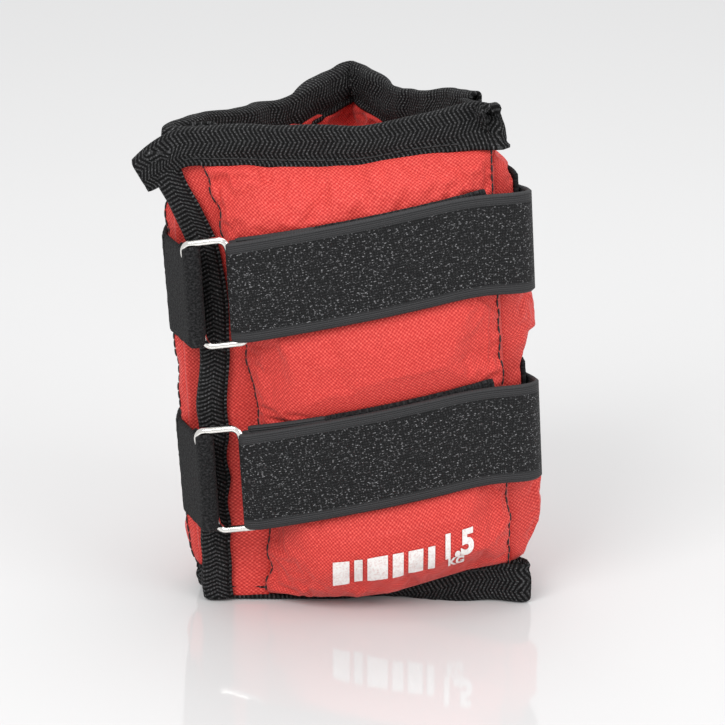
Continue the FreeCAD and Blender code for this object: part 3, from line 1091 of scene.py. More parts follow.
    def shape(self) -> None:
        """Makes both sides, stuffed and gathered."""
        seed = 11 + 20 * list(Pocket).index(self.pocket)
        outside = self.stuff(self.grid(True), 3.6, 3.5)
        outside = self.puckers(refine(outside), seed, 0.75)
        share = np.clip(outside[..., 0] / self.tube.pitch, 0, 1)
        depth = self.held(share, outside[..., 0], outside[..., 2], -outside[..., 1])
        outside[..., 1] = -depth
        if self.pocket is Pocket.FRONT:
            resting = self.tube.floor(outside[..., 0]) + 0.5
            outside[..., 2] = np.maximum(outside[..., 2], resting)
        self.cover = outside
        inside = self.stuff(self.grid(False)[::-1], 1.6, 2.0)[::-1]
        self.lining = self.puckers(refine(inside), seed + 3, 0.6)

    def filling(self, name: str, gap: float, material: bpy.types.Material) -> bpy.types.Object:
        """A closed form of the fill, set in from the cover and the lining.

        Args:
            name: name of the piece.
            gap: distance in from the cloth.
            material: the finish.

        Returns:
            The bag or the sand.
        """
        face = self.grid(True)[4:-4, 13:-15]
        back = self.grid(False)[4:-4, 13:-15]
        full = (face[..., 1] + self.cover_thickness) * (0.82 - 0.05 * gap)
        face[..., 1] = np.minimum(full, 0.1 * gap - 1.1)
        flat = (back[..., 1] - self.lining_thickness) * (0.45 - 0.1 * gap) - 0.5
        back[..., 1] = np.maximum(flat, -0.65 - 0.15 * gap)
        middle = self.tube.pitch / 2.0
        face[..., 0] = middle + (face[..., 0] - middle) * (0.95 - 0.02 * gap)
        back[..., 0], back[..., 2] = face[..., 0], face[..., 2]
        made = Cloth(name, face, 0.4, 0.2, back)
        return made.build(lambda p: self.tube.stand(p, self.pocket), material)

    def build(self, finishes: Finishes) -> None:
        """Builds the cover, the lining, the bag and the sand, and puts them on the pocket's body."""
        name = self.pocket.value
        self.shape()
        place = lambda p: self.tube.stand(p, self.pocket)
        cover = Cloth(f"{name}_cover_cloth", self.cover, self.cover_thickness).build(place, finishes.cover)
        lining = Cloth(f"{name}_lining_cloth", self.lining[::-1], self.lining_thickness)
        lining = lining.build(place, finishes.lining)
        bag = self.filling(f"{name}_sand_bag_film", 0.3, finishes.film)
        sand = self.filling(f"{name}_iron_sand_fill", 0.9, finishes.sand)
        pieces = {cover: ("cover", "oxford_cover"), lining: ("lining", "oxford_lining"),
                  bag: ("sand_bag", "bag_film"), sand: ("iron_sand", "iron_sand")}
        for piece, (node, slot) in pieces.items():
            fit(piece, self.pocket.body, slot, f"{name}_{node}")
        LOG.info("%s pocket built", name)

    def seam_line(self, column: int, proud: float, low: float = 0.0, high: float = 200.0) -> Array:
        """Line of points up the cover beside a seam, in the row frame.

        Args:
            column: column of the cover's grid.
            proud: distance out from the cloth.
            low: lowest height of the line.
            high: highest height of the line.

        Returns:
            Points in metres.
        """
        normals = grid_normals(self.cover)
        line = self.cover[column] + normals[column] * proud
        keep = (line[:, 2] > low) & (line[:, 2] < high)
        return self.tube.stand(line[keep], self.pocket)


# ---------------------------------------------------------------- tapes and straps

@dataclass
class Band:
    """A tape laid on edge along a plan line, in the front pocket's frame."""

    name: str
    line: Array
    height: Callable[[Array], Array]
    incline: Callable[[Array], Array]
    thickness: float = 1.5
    half_width: float = 15.0
    fuzz: float = 0.0
    step: float = 0.9
    across: int = 31

    def face(self) -> Array:
        """Grid of the shown face: along the tape by its width."""
        total = lengths(self.line)[-1]
        a = np.linspace(0.0, total, max(6, int(total / self.step)))
        w = np.linspace(-self.half_width, self.half_width, self.across)
        s, width = np.meshgrid(a, w, indexing="ij")
        tilt = self.incline(s)
        reach = s - width * np.sin(tilt)
        plan = along(self.line, reach)
        ahead = along(self.line, reach + 0.4)
        tangent = unit(ahead - along(self.line, reach - 0.4))
        normal = np.stack([tangent[..., 1], -tangent[..., 0]], -1)
        out = self.thickness / 2.0 + np.zeros_like(s)
        if self.fuzz:
            dots = np.stack([s, width], -1)
            out += self.fuzz * (0.6 * ripple(dots, 2.2, 3) + 0.4 * ripple(dots, 1.1, 4))
        plan = plan + normal * out[..., None]
        z = self.height(s) + width * np.cos(tilt)
        return np.concatenate([plan, z[..., None]], -1)

    def build(self, tube: Tube, material: bpy.types.Material) -> bpy.types.Object:
        """Makes the tape."""
        return Cloth(self.name, self.face(), self.thickness).build(tube.stand, material)


@dataclass
class StrapSet:
    """One strap with its ring, its tab and the loop tapes it closes on."""

    tube: Tube
    level: Level
    joints: dict[str, dict]
    incline: float = math.radians(8.5)
    tape: float = 1.5
    sewn_depth: float = 14.2
    sewn_half_length: float = 5.5
    rear_half_length: float = 1.5
    fold_radius: float = 2.1
    anchor_length: float = 26.0
    tail_length: float = 38.0
    sewn_reach: float = 5.5
    strap_drop: float = 0.0
    bar: Array = field(init=False)
    left_bar: Array = field(init=False)

    def __post_init__(self) -> None:
        """Reads the ring's two bars from its joints."""
        self.bar = self.tube.local(self.joints[f"{self.level.value}_strap_peel"]["pos_m"])
        self.left_bar = self.tube.local(self.joints[f"{self.level.value}_ring_swivel"]["pos_m"])

    @property
    def climb(self) -> float:
        """Rise of the strap from the ring to the right seam."""
        return (self.tube.pitch - self.bar[0]) * math.tan(self.incline)

    def sewn(self, pocket: Pocket, start: float, end: float, lift: float) -> Array:
        """Plan line of a tape sewn along a pocket, lift out from the cover's limit."""
        x = np.linspace(start, end, 160)
        half = self.tube.pitch / 2.0
        margin = self.rear_half_length if pocket is Pocket.REAR else self.sewn_half_length
        ellipse = np.sqrt(1 - ((x - half) / (half + margin + lift)) ** 2)
        return self.tube.plan(pocket, x, (self.sewn_depth + lift) * ellipse)

    def tab_end(self) -> Array:
        """Where the tab meets the tape on the rear pocket, in plan."""
        half = self.tube.pitch / 2.0
        depth = self.sewn_depth * math.sqrt(1 - (half / (half + self.rear_half_length)) ** 2) + 0.8
        return self.tube.plan(Pocket.REAR, self.tube.pitch + 0.3, depth)

    def lines(self) -> list[StrapLine]:
        """Middle of the strap on the front, right and rear pockets."""
        slope = math.tan(self.incline)
        start = self.bar[2] - self.bar[0] * slope
        top = self.bar[2] + self.climb
        end = self.bar[2] - (self.bar[0] - self.tab_end()[0]) * slope
        return [StrapLine(start, top), StrapLine(top, top), StrapLine(top, end)]

    def strap_plan(self) -> Array:
        """Plan line of the hook strap: round the ring's bar, across the front, and on to its tail."""
        turn = np.radians(np.linspace(90.0, 262.0, 30))
        fold = self.bar[:2] + self.fold_radius * np.stack([np.cos(turn), np.sin(turn)], -1)
        x = np.array([self.bar[0] + 9.0, 30.0, 48.0, 64.0, 76.0])
        out = np.array([15.8, 16.7, 16.6, 15.0, 12.6])
        front = self.tube.plan(Pocket.FRONT, x, out)
        around = np.radians(np.linspace(-82.0, 22.0, 9))
        corner = self.tube.seam(Pocket.RIGHT) + 10.3 * np.stack([np.cos(around), np.sin(around)], -1)
        side = self.tube.plan(Pocket.RIGHT, [9.0, 20.0, self.tail_length], [12.9, 15.2, 16.7])
        knots = np.concatenate([fold, front, corner, side])
        rest = smooth_line(knots[29:], 0.5, 2.5)
        return np.concatenate([fold[:-1], rest])

    def build_strap(self, finishes: Finishes) -> None:
        """The hook strap, one piece that bends at the right seam, and its sewn end."""
        name = self.level.value
        line = self.strap_plan()
        s = lengths(line)
        corner = self.tube.plan(Pocket.FRONT, self.tube.pitch, 10.0)
        corner_at = s[np.argmin(np.linalg.norm(line - corner, axis=1))]
        start = self.fold_radius * math.pi / 2.0

        def incline(at: Array) -> Array:
            """Tilt of the strap, which turns over at the corner."""
            return self.incline * (1.0 - 2.0 * ease(at, corner_at - 22.0, corner_at + 12.0))

        table = np.linspace(0.0, s[-1], 400)
        rise = np.concatenate([[0.0], np.cumsum(np.sin(incline(table[:-1])) * np.diff(table))])
        base = self.bar[2] - self.strap_drop - float(np.interp(start + self.fold_radius * 2.0, table, rise))
        slope = math.sin(self.incline)

        def height(at: Array) -> Array:
            """Middle height of the strap."""
            plan_run = np.interp(at, table, rise)
            doubled = np.clip(start * 2.0 - at, 0.0, None) * slope
            return base + plan_run + doubled

        strap = Band(f"{name}_hook_strap", line, height, incline, self.tape, step=0.8)
        piece = strap.build(self.tube, finishes.hook)
        here = self.tube.plan(Pocket.FRONT, self.tube.pitch - 7.0, 10.0)
        there = self.tube.plan(Pocket.RIGHT, 7.0, 10.0)
        z = self.bar[2] + self.climb
        ends = self.tube.stand(np.array([[*here, z], [*there, z]]))
        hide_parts(*(f"{name}_strap_{part}" for part in ("fold", "run", "corner", "tail")))
        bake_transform(piece)

        sewn = self.sewn(Pocket.FRONT, self.bar[0] + 2.8, self.bar[0] + self.anchor_length, 0.8)
        anchor = Band(f"{name}_strap_sewn_end", sewn, self.front_height(sewn),
                      lambda at: self.incline + 0.0 * at, self.tape)
        fit(anchor.build(self.tube, finishes.hook), Pocket.FRONT.body, "hook_tape", f"{name}_strap_anchor")

    def front_height(self, line: Array) -> Callable[[Array], Array]:
        """Middle height of a tape on the front pocket, as a function of its length."""
        s = lengths(line)
        z = self.bar[2] + (line[:, 0] - self.bar[0]) * math.tan(self.incline)
        return lambda at: np.interp(at, s, z)

    def build_loops(self, finishes: Finishes) -> None:
        """The loop tape sewn on each pocket."""
        name = self.level.value
        fronts = self.sewn(Pocket.FRONT, self.bar[0] + self.anchor_length + 0.3, self.tube.pitch - 2.0, 0.8)
        rights = self.sewn(Pocket.RIGHT, 2.0, self.tube.pitch - 2.0, 0.8)
        rears = self.sewn(Pocket.REAR, 2.0, self.tube.pitch - 0.3, 0.8)
        top = self.bar[2] + self.climb
        end = self.bar[2] - (self.bar[0] - self.tab_end()[0]) * math.tan(self.incline)
        fall = math.atan2(end - top, self.tube.pitch)
        rear_length = lengths(rears)[-1]
        specs = [
            (Pocket.FRONT, fronts, self.front_height(fronts), lambda at: self.incline + 0.0 * at),
            (Pocket.RIGHT, rights, lambda at: top + 0.0 * at, lambda at: 0.0 * at),
            (Pocket.REAR, rears, lambda at: top + (end - top) * at / rear_length, lambda at: fall + 0.0 * at),
        ]
        for pocket, line, height, incline in specs:
            band = Band(f"{pocket.value}_{name}_loop_pile", line, height, incline, self.tape,
                        fuzz=0.1, step=0.7)
            fit(band.build(self.tube, finishes.loop), pocket.body, "loop_tape",
                f"{pocket.value}_{name}_loop_tape")

    def build_tab(self, finishes: Finishes) -> None:
        """The loop tape folded round the ring's left bar and sewn back on itself."""
        name = self.level.value
        centre = self.left_bar[:2]
        radius = self.fold_radius
        away = self.tab_end() - centre
        heading = math.atan2(away[1], away[0]) - math.asin(radius / np.linalg.norm(away))
        across = np.array([math.cos(heading + math.pi / 2), math.sin(heading + math.pi / 2)])
        forward = np.array([math.cos(heading), math.sin(heading)])
        outer_start = centre + radius * across
        sewn_point = outer_start + self.sewn_reach * forward - (self.tape + 0.15) * across
        back = sewn_point - centre
        inner = math.atan2(back[1], back[0]) + math.asin(min(1.0, radius / np.linalg.norm(back)))
        sweep = np.linspace(heading + math.pi / 2, inner + 1.5 * math.pi, 40)
        turn = centre + radius * np.stack([np.cos(sweep), np.sin(sweep)], -1)
        line = np.concatenate([[self.tab_end()], turn, [sewn_point]])
        dense = along(line, np.linspace(0, lengths(line)[-1], 220))
        slope = math.tan(self.incline)
        s = lengths(dense)
        z = self.bar[2] + (dense[:, 0] - self.bar[0]) * slope

        def incline(at: Array) -> Array:
            """Tilt of the tab, which turns back at the ring."""
            tangent = np.gradient(dense[:, 0], s)
            return self.incline * np.interp(at, s, tangent)

        tab = Band(f"{name}_ring_tab_loop", dense, lambda at: np.interp(at, s, z), incline, self.tape,
                   fuzz=0.12, step=0.5)
        fit(tab.build(self.tube, finishes.loop), Pocket.REAR.body, "loop_tape", f"{name}_ring_tab")

    def build_ring(self, finishes: Finishes, recipe: RingRecipe) -> None:
        """The wire ring between the tab and the fold of the strap."""
        name = self.level.value
        swivel = self.joints[f"{name}_ring_swivel"]
        left = Vector(swivel["pos_m"])
        right = Vector(self.joints[f"{name}_strap_peel"]["pos_m"])
        x_axis = (right - left).normalized()
        y_axis = -Vector(swivel["axis"]).normalized()
        z_axis = x_axis.cross(y_axis).normalized()
        turn = Matrix((x_axis, y_axis, z_axis)).transposed().to_4x4()
        values = {"Width": (right - left).length, "Height": 0.0328, "Corner radius": 0.0026,
                  "Wire radius": 0.0011, "Material": finishes.wire}
        piece = recipe.make(f"{name}_wire_ring", bpy.data.meshes.new("seed"), values)
        piece.data.transform(Matrix.Translation((left + right) / 2.0) @ turn)
        fit(piece, f"{name}_ring", "ring_wire", f"{name}_ring")

    def build(self, finishes: Finishes, recipe: RingRecipe) -> None:
        """Builds everything on this level."""
        self.build_loops(finishes)
        self.build_tab(finishes)
        self.build_ring(finishes, recipe)
        self.build_strap(finishes)
        LOG.info("%s strap built", self.level.value)


# ---------------------------------------------------------------- the edge binding

@dataclass
class EdgeTape:
    """Binding folded over an edge: a U of tape carried along a line of stations."""

    name: str
    plan: Array
    free_z: Callable[[Array], Array]
    reach: Callable[[Array], Array]
    turn: Callable[[Array], Array]
    top: bool
    front_half: float = 2.3
    back_half: float = 2.1
    thickness: float = 1.3
    crumple: Callable[[Array], Array] = lambda s: 0.35 + 0.0 * s
    seed: int = 1
    slant: float = 0.0
    step: float = 0.9

    def stations(self) -> tuple[Array, Array, Array, Array]:
        """Lengths, plan points, outward directions and directions towards the fold."""
        total = lengths(self.plan)[-1]
        s = np.linspace(0.0, total, max(8, int(total / self.step)))
        points = along(self.plan, s)
        tangent = unit(np.gradient(points, axis=0))
        out = np.stack([tangent[:, 1], -tangent[:, 0], np.zeros(len(s))], -1)
        up = np.array([0.0, 0.0, 1.0 if self.top else -1.0])
        turn = self.turn(s)[:, None]
        lean = 1.0 if self.top else -1.0
        fold = up * np.cos(turn) + lean * out * np.sin(turn)
        side = out * np.cos(turn) - lean * up * np.sin(turn)
        return s, points, side, fold

    def face(self) -> Array:
        """Grid of the outer face, along the edge by the way round the fold."""
        s, points, side, fold = self.stations()
        reach = self.reach(s)
        bend = np.linspace(0.0, math.pi, 11)
        half = (self.front_half + self.back_half) / 2.0
        middle = (self.front_half - self.back_half) / 2.0
        legs = np.array([0.0, 0.08, 0.16, 0.26, 0.4, 0.55, 0.7, 0.85])
        swell = np.array([0.1, -0.25, -0.3, 0.1, 0.35, 0.4, 0.3, 0.1])
        rows_out: list[Array] = []
        rows_up: list[Array] = []
        leg = np.maximum(reach - half, 1.0)
        for share, puff in zip(legs, swell):
            rows_out.append(self.front_half + puff + 0.0 * s)
            rows_up.append(leg * share)
        for angle in bend:
            rows_out.append(middle + half * math.cos(angle) + 0.0 * s)
            rows_up.append(leg + half * math.sin(angle))
        for share, puff in zip(legs[::-1], swell[::-1]):
            rows_out.append(-self.back_half - puff + 0.0 * s)
            rows_up.append(leg * share)
        out, up = np.stack(rows_out, 1), np.stack(rows_up, 1)
        base = np.concatenate([points, self.free_z(s)[:, None]], -1)
        grid = base[:, None] + side[:, None] * out[..., None] + fold[:, None] * up[..., None]
        grid[..., 0] += self.slant * (1.0 - ease(s, 0.0, 16.0))[:, None] * (0.5 - up / 12.0)
        amount = self.crumple(s)[:, None]
        sway = ripple(grid, 16.0, self.seed)[..., None] * side[:, None]
        lift = ripple(grid[:, :, :2], 24.0, self.seed + 1)[..., None] * fold[:, None]
        buckle = ripple(np.stack([np.broadcast_to(s[:, None], out.shape), out * 0.6], -1), 8.0, self.seed + 2)
        held = np.clip(up / 4.0, 0.0, 1.0)[..., None]
        moved = sway + 0.8 * lift + 0.45 * buckle[..., None] * side[:, None]
        grid = grid + amount[..., None] * held * moved
        return grid if self.top else grid[:, ::-1]

    def stitch_line(self, tube: Tube, inset: float = 1.5) -> Array:
        """Line of stitching near the free edge of the front leg, in the row frame."""
        s, points, side, fold = self.stations()
        base = np.concatenate([points, self.free_z(s)[:, None]], -1)
        return tube.stand(base + side * (self.front_half - 0.1) + fold * inset)

    def build(self, tube: Tube, material: bpy.types.Material) -> bpy.types.Object:
        """Makes the tape and keeps it off the floor."""
        face = self.face()
        low = tube.floor(face[..., 0]) + 0.05
        face[..., 2] = np.maximum(face[..., 2], low)
        made = Cloth(self.name, face, self.thickness)
        back = face - grid_normals(face) * self.thickness
        back[..., 2] = np.maximum(back[..., 2], low + 0.4)
        made.back = back
        return made.build(tube.stand, material)


@dataclass
class Bindings:
    """The tape round the upper and lower edges and on the two ends, with the margins between."""

    tube: Tube
    front: SandPocket
    cover: float = 12.5
    ring_margin: float = 14.4

    def corner_knots(self, pocket: Pocket, reach: float, proud: float) -> Array:
        """Plan knots round the seam before a pocket."""
        before = {Pocket.RIGHT: Pocket.FRONT, Pocket.REAR: Pocket.RIGHT}[pocket]
        pitch = self.tube.pitch
        a = self.tube.plan(before, pitch - reach, 0.0)
        b = self.tube.plan(pocket, reach, 0.0)
        corner = self.tube.seam(pocket)
        out = unit(corner - (a + b) / 2.0)
        return np.stack([a, corner + out * proud, b])

    def last_seam(self) -> Array:
        """Plan point of the rear pocket's last seam."""
        return self.tube.plan(Pocket.REAR, self.tube.pitch, 0.0)

    def front_plan(self, start: float, proud: float) -> Array:
        """Front edge and the corner after it, standing out from the seam."""
        knots = [self.tube.plan(Pocket.FRONT, start, 0.0)[None],
                 self.tube.plan(Pocket.FRONT, 40.0, 0.6)[None],
                 self.corner_knots(Pocket.RIGHT, 6.0, proud),
                 self.tube.plan(Pocket.RIGHT, 14.0, 0.5 * proud)[None]]
        return smooth_line(np.concatenate(knots), 0.5, 2.0)

    def back_plan(self) -> Array:
        """Right edge, the corner after it, the rear edge and the margin folded in behind the front."""
        last = self.last_seam()
        end = last + np.array([self.ring_margin, 0.0])
        knots = [self.tube.plan(Pocket.RIGHT, 13.0, 2.0)[None], self.tube.plan(Pocket.RIGHT, 40.0, 1.0)[None],
                 self.corner_knots(Pocket.REAR, 7.0, 1.6), self.tube.plan(Pocket.REAR, 42.0, 1.0)[None],
                 last[None] + np.array([[-0.5, 0.0]]), end[None]]
        return smooth_line(np.concatenate(knots), 0.5, 2.0)

    def seam_ends(self, pocket: Pocket, z: float) -> tuple[tuple, tuple]:
        """Start and end of the bend at the seam before a pocket, in the row frame."""
        a, _, b = self.corner_knots(pocket, 5.0, 0.0)
        ends = self.tube.stand(np.array([[*a, z], [*b, z]]))
        return tuple(ends[0]), tuple(ends[1])

    def blend(self, piece: bpy.types.Object, pocket: Pocket, z: float, *nodes: str) -> None:
        """Reads the ends of the bend at the seam before a pocket, hides the nodes that the tape replaces and
        bakes the tape's transform.
        """
        start, end = self.seam_ends(pocket, z)
        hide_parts(*nodes)
        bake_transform(piece)

    def build_top(self, finishes: Finishes, sewing: Sewing) -> None:
        """Upper binding: the drooping ear and the front edge, then the two back edges."""
        top = self.tube.height
        plan = self.front_plan(-22.5, 4.5)
        s = lengths(plan)
        x = plan[:, 0]

        def free(at: Array) -> Array:
            """Height of the tape's free edge."""
            here = np.interp(at, s, x)
            return curve_through([-23, -16, -8, 2, 24, 45, 62, 78, 88],
                                 [-17.5, -14.8, -10.4, -10.4, -12.0, -12.6, -10.4, -9.6, -9.4], here) + top

        def reach(at: Array) -> Array:
            """Depth of the tape from its free edge to its fold."""
            here = np.interp(at, s, x)
            return curve_through([-23, -14, 0, 30, 60, 76, 88],
                                 [8.0, 11.0, 11.5, 11.8, 11.6, 12.4, 11.4], here)

        def crumple(at: Array) -> Array:
            """Strength of the creases, most at the two ends."""
            here = np.interp(at, s, x)
            return 0.55 + 1.2 * ease(here, 70.0, 84.0) + 0.8 * ease(-here, -2.0, 14.0)

        tape = EdgeTape("front_top_binding_tape", plan, free, reach, lambda at: -0.16 + 0.0 * at, True,
                        crumple=crumple, seed=21, slant=7.0)
        self.blend(tape.build(self.tube, finishes.binding), Pocket.RIGHT, top, "front_top_binding")
        row = sewing.row("front_top_stitching", [tape.stitch_line(self.tube)[14:-34]])
        fit(row, Pocket.FRONT.body, "binding_tape")

        plan = self.back_plan()
        s_back = lengths(plan)
        length = s_back[-1]
        apex = s_back[np.argmin(np.linalg.norm(plan - self.tube.seam(Pocket.REAR), axis=1))]
        right = self.tube.pitch - 14.0

        def back_free(at: Array) -> Array:
            """Height of the free edge along the back."""
            return top - 12.4 + curve_through([0, 14, right * 0.6, apex, apex + 34, apex + 78, length],
                                              [4.6, 2.4, -2.2, 1.8, -3.4, 0.0, -1.5], at)

        tape = EdgeTape("back_top_binding_tape", plan, back_free, lambda at: 12.4 + 0.0 * at,
                        lambda at: 0.05 + 0.0 * at, True, crumple=lambda at: 0.8 + 0.0 * at, seed=31)
        self.blend(tape.build(self.tube, finishes.binding), Pocket.REAR, top,
                   "right_top_binding", "rear_top_binding")
        LOG.info("upper binding built")

    def build_bottom(self, finishes: Finishes, sewing: Sewing) -> None:
        """Lower binding, tucked under the left side and upright at the right."""
        plan = self.front_plan(-8.5, 6.0)
        s = lengths(plan)
        x = plan[:, 0]
        tan = math.tan(self.tube.lean)

        def free(at: Array) -> Array:
            """Height of the free edge over the floor."""
            here = np.interp(at, s, x)
            lift = 2.6 + (self.cover - 2.6) * ease(here, 28.0, 80.0)
            return np.maximum((self.tube.pitch - here) * tan, -1.0) + lift

        def turn(at: Array) -> Array:
            """Angle that the tape is tucked under by."""
            here = np.interp(at, s, x)
            return math.radians(84.0) * (1.0 - ease(here, 26.0, 72.0))

        tape = EdgeTape("front_bottom_binding_tape", plan, free, lambda at: 12.3 + 0.0 * at, turn, False,
                        crumple=lambda at: 0.3 + 0.0 * at, seed=41)
        self.blend(tape.build(self.tube, finishes.binding), Pocket.RIGHT, 6.0, "front_bottom_binding")
        row = sewing.row("front_bottom_stitching", [tape.stitch_line(self.tube)[70:-34]])
        fit(row, Pocket.FRONT.body, "binding_tape")

        plan = self.back_plan()
        s_back = lengths(plan)
        x_back = plan[:, 0]

        def back_reach(at: Array) -> Array:
            """Depth of the tape down to the floor."""
            here = np.interp(at, s_back, x_back)
            return self.cover - self.tube.floor(here) - 0.1

        tape = EdgeTape("back_bottom_binding_tape", plan, lambda at: self.cover + 0.0 * at, back_reach,
                        lambda at: 0.0 * at, False, crumple=lambda at: 0.35 + 0.0 * at, seed=51)
        self.blend(tape.build(self.tube, finishes.binding), Pocket.REAR, 6.0,
                   "right_bottom_binding", "rear_bottom_binding")
        LOG.info("lower binding built")

    def end_line(self, z: Array) -> Array:
        """Left edge of the strap end, which flares at the top."""
        return curve_through([0, 30, 64, 103, 122, 138, 150],
                             [-10.5, -10.0, -8.4, -6.0, -8.0, -14.5, -19.0], z)

    def end_depth(self, z: Array) -> Array:
        """How far the strap end is bent back or forward along its height."""
        return 0.4 + 0.5 * np.sin(z / 19.0)

    def upright(self, name: str, edge: Callable[[Array], Array], depth: Callable[[Array], Array], low: float,
                high: float, opens: float, width: float, seed: int) -> Cloth:
        """A binding on an upright end.

        Args:
            name: name of the piece.
            edge: plan x of the fold at a height.
            depth: plan y at a height.
            low: lowest height.
            high: highest height.
            opens: 1 if the tape opens towards +x, -1 if towards -x.
            width: how far it reaches over each face.
            seed: fixes its waviness.

        Returns:
            The tape's cloth.
        """
        z = np.linspace(low, high, int((high - low) / 1.1))
        half, cap = 2.0, np.linspace(-math.pi / 2, math.pi / 2, 9)
        leg = np.array([1.0, 0.92, 0.84, 0.6, 0.35, 0.12])
        swell = np.array([0.0, -0.3, -0.25, 0.2, 0.25, 0.1])
        inward = np.concatenate([half + leg * (width - half), half - half * np.cos(cap),
                                 half + leg[::-1] * (width - half)])
        out = np.concatenate([-(half + swell), half * np.sin(cap), half + swell[::-1]])
        zz, inn = np.meshgrid(z, inward, indexing="ij")
        _, yy = np.meshgrid(z, out, indexing="ij")
        x = edge(zz) + opens * inn
        y = depth(zz) + yy
        grid = np.stack([x, y, zz], -1)
        wobble = ripple(np.stack([zz, yy], -1), 13.0, seed)
        grid[..., 0] += 0.35 * wobble
        grid[..., 1] += 0.25 * ripple(np.stack([zz, inn], -1), 11.0, seed + 1)
        return Cloth(name, grid if opens < 0 else grid[:, ::-1], 1.2)

    def build_ends(self, finishes: Finishes, sewing: Sewing) -> None:
        """The strap end beside the front pocket and the ring end folded in behind it."""
        top = self.tube.height
        z = np.linspace(6.0, top - 8.0, 120)
        share = np.linspace(0.0, 1.0, 14)
        zz, ss = np.meshgrid(z, share, indexing="ij")
        left = self.end_line(zz) + 3.0
        right = self.front.left(zz) + 0.4
        waves = ripple(np.stack([zz, ss * 9.0], -1), 14.0, 61)
        depth = self.end_depth(zz) * (1 - ss) - 0.7 + 0.35 * waves * ss * (1 - ss) * 4
        grid = np.stack([left + (right - left) * ss, depth, zz], -1)
        low = self.tube.floor(grid[..., 0]) + 1.0
        grid[..., 2] = np.maximum(grid[..., 2], low)
        margin = Cloth("strap_end_margin_cloth", np.swapaxes(grid, 0, 1), 1.3)
        fit(margin.build(self.tube.stand, finishes.cover), Pocket.FRONT.body,
            "oxford_cover", "strap_end_margin")
        bound = self.upright("strap_end_binding_tape", self.end_line, self.end_depth,
                             6.0, top - 6.0, 1.0, 8.2, 71)
        fit(bound.build(self.tube.stand, finishes.binding), Pocket.FRONT.body, "binding_tape",
            "strap_end_binding")

        last = self.last_seam()
        zz, ss = np.meshgrid(np.linspace(9.0, top - 4.0, 100), share, indexing="ij")
        x = last[0] + 0.4 + ss * (self.ring_margin - 3.0)
        y = last[1] - 0.7 + 0.3 * ripple(np.stack([zz, ss * 9.0], -1), 16.0, 81)
        grid = np.swapaxes(np.stack([x, y, zz], -1), 0, 1)
        margin = Cloth("ring_end_margin_cloth", grid, 1.3)
        fit(margin.build(self.tube.stand, finishes.cover), Pocket.REAR.body,
            "oxford_cover", "ring_end_margin")
        fold = last[0] + self.ring_margin
        foot = float(self.tube.floor(fold)) + 0.2
        bound = self.upright("ring_end_binding_tape", lambda at: fold + 0.0 * at,
                             lambda at: last[1] + 0.0 * at, foot + 1.0, top - 1.0, -1.0, 8.0, 91)
        fit(bound.build(self.tube.stand, finishes.binding), Pocket.REAR.body, "binding_tape",
            "ring_end_binding")

        heights = np.linspace(14.0, top - 14.0, 90)
        line = np.stack([self.end_line(heights) + 6.9, self.end_depth(heights) - 2.1, heights], -1)
        row = sewing.row("strap_end_stitching", [self.tube.stand(line)])
        fit(row, Pocket.FRONT.body, "binding_tape")
        LOG.info("ends built")

    def build(self, finishes: Finishes, sewing: Sewing) -> None:
        """Builds every bound edge."""
        self.build_top(finishes, sewing)
        self.build_bottom(finishes, sewing)
        self.build_ends(finishes, sewing)


# ---------------------------------------------------------------- the print

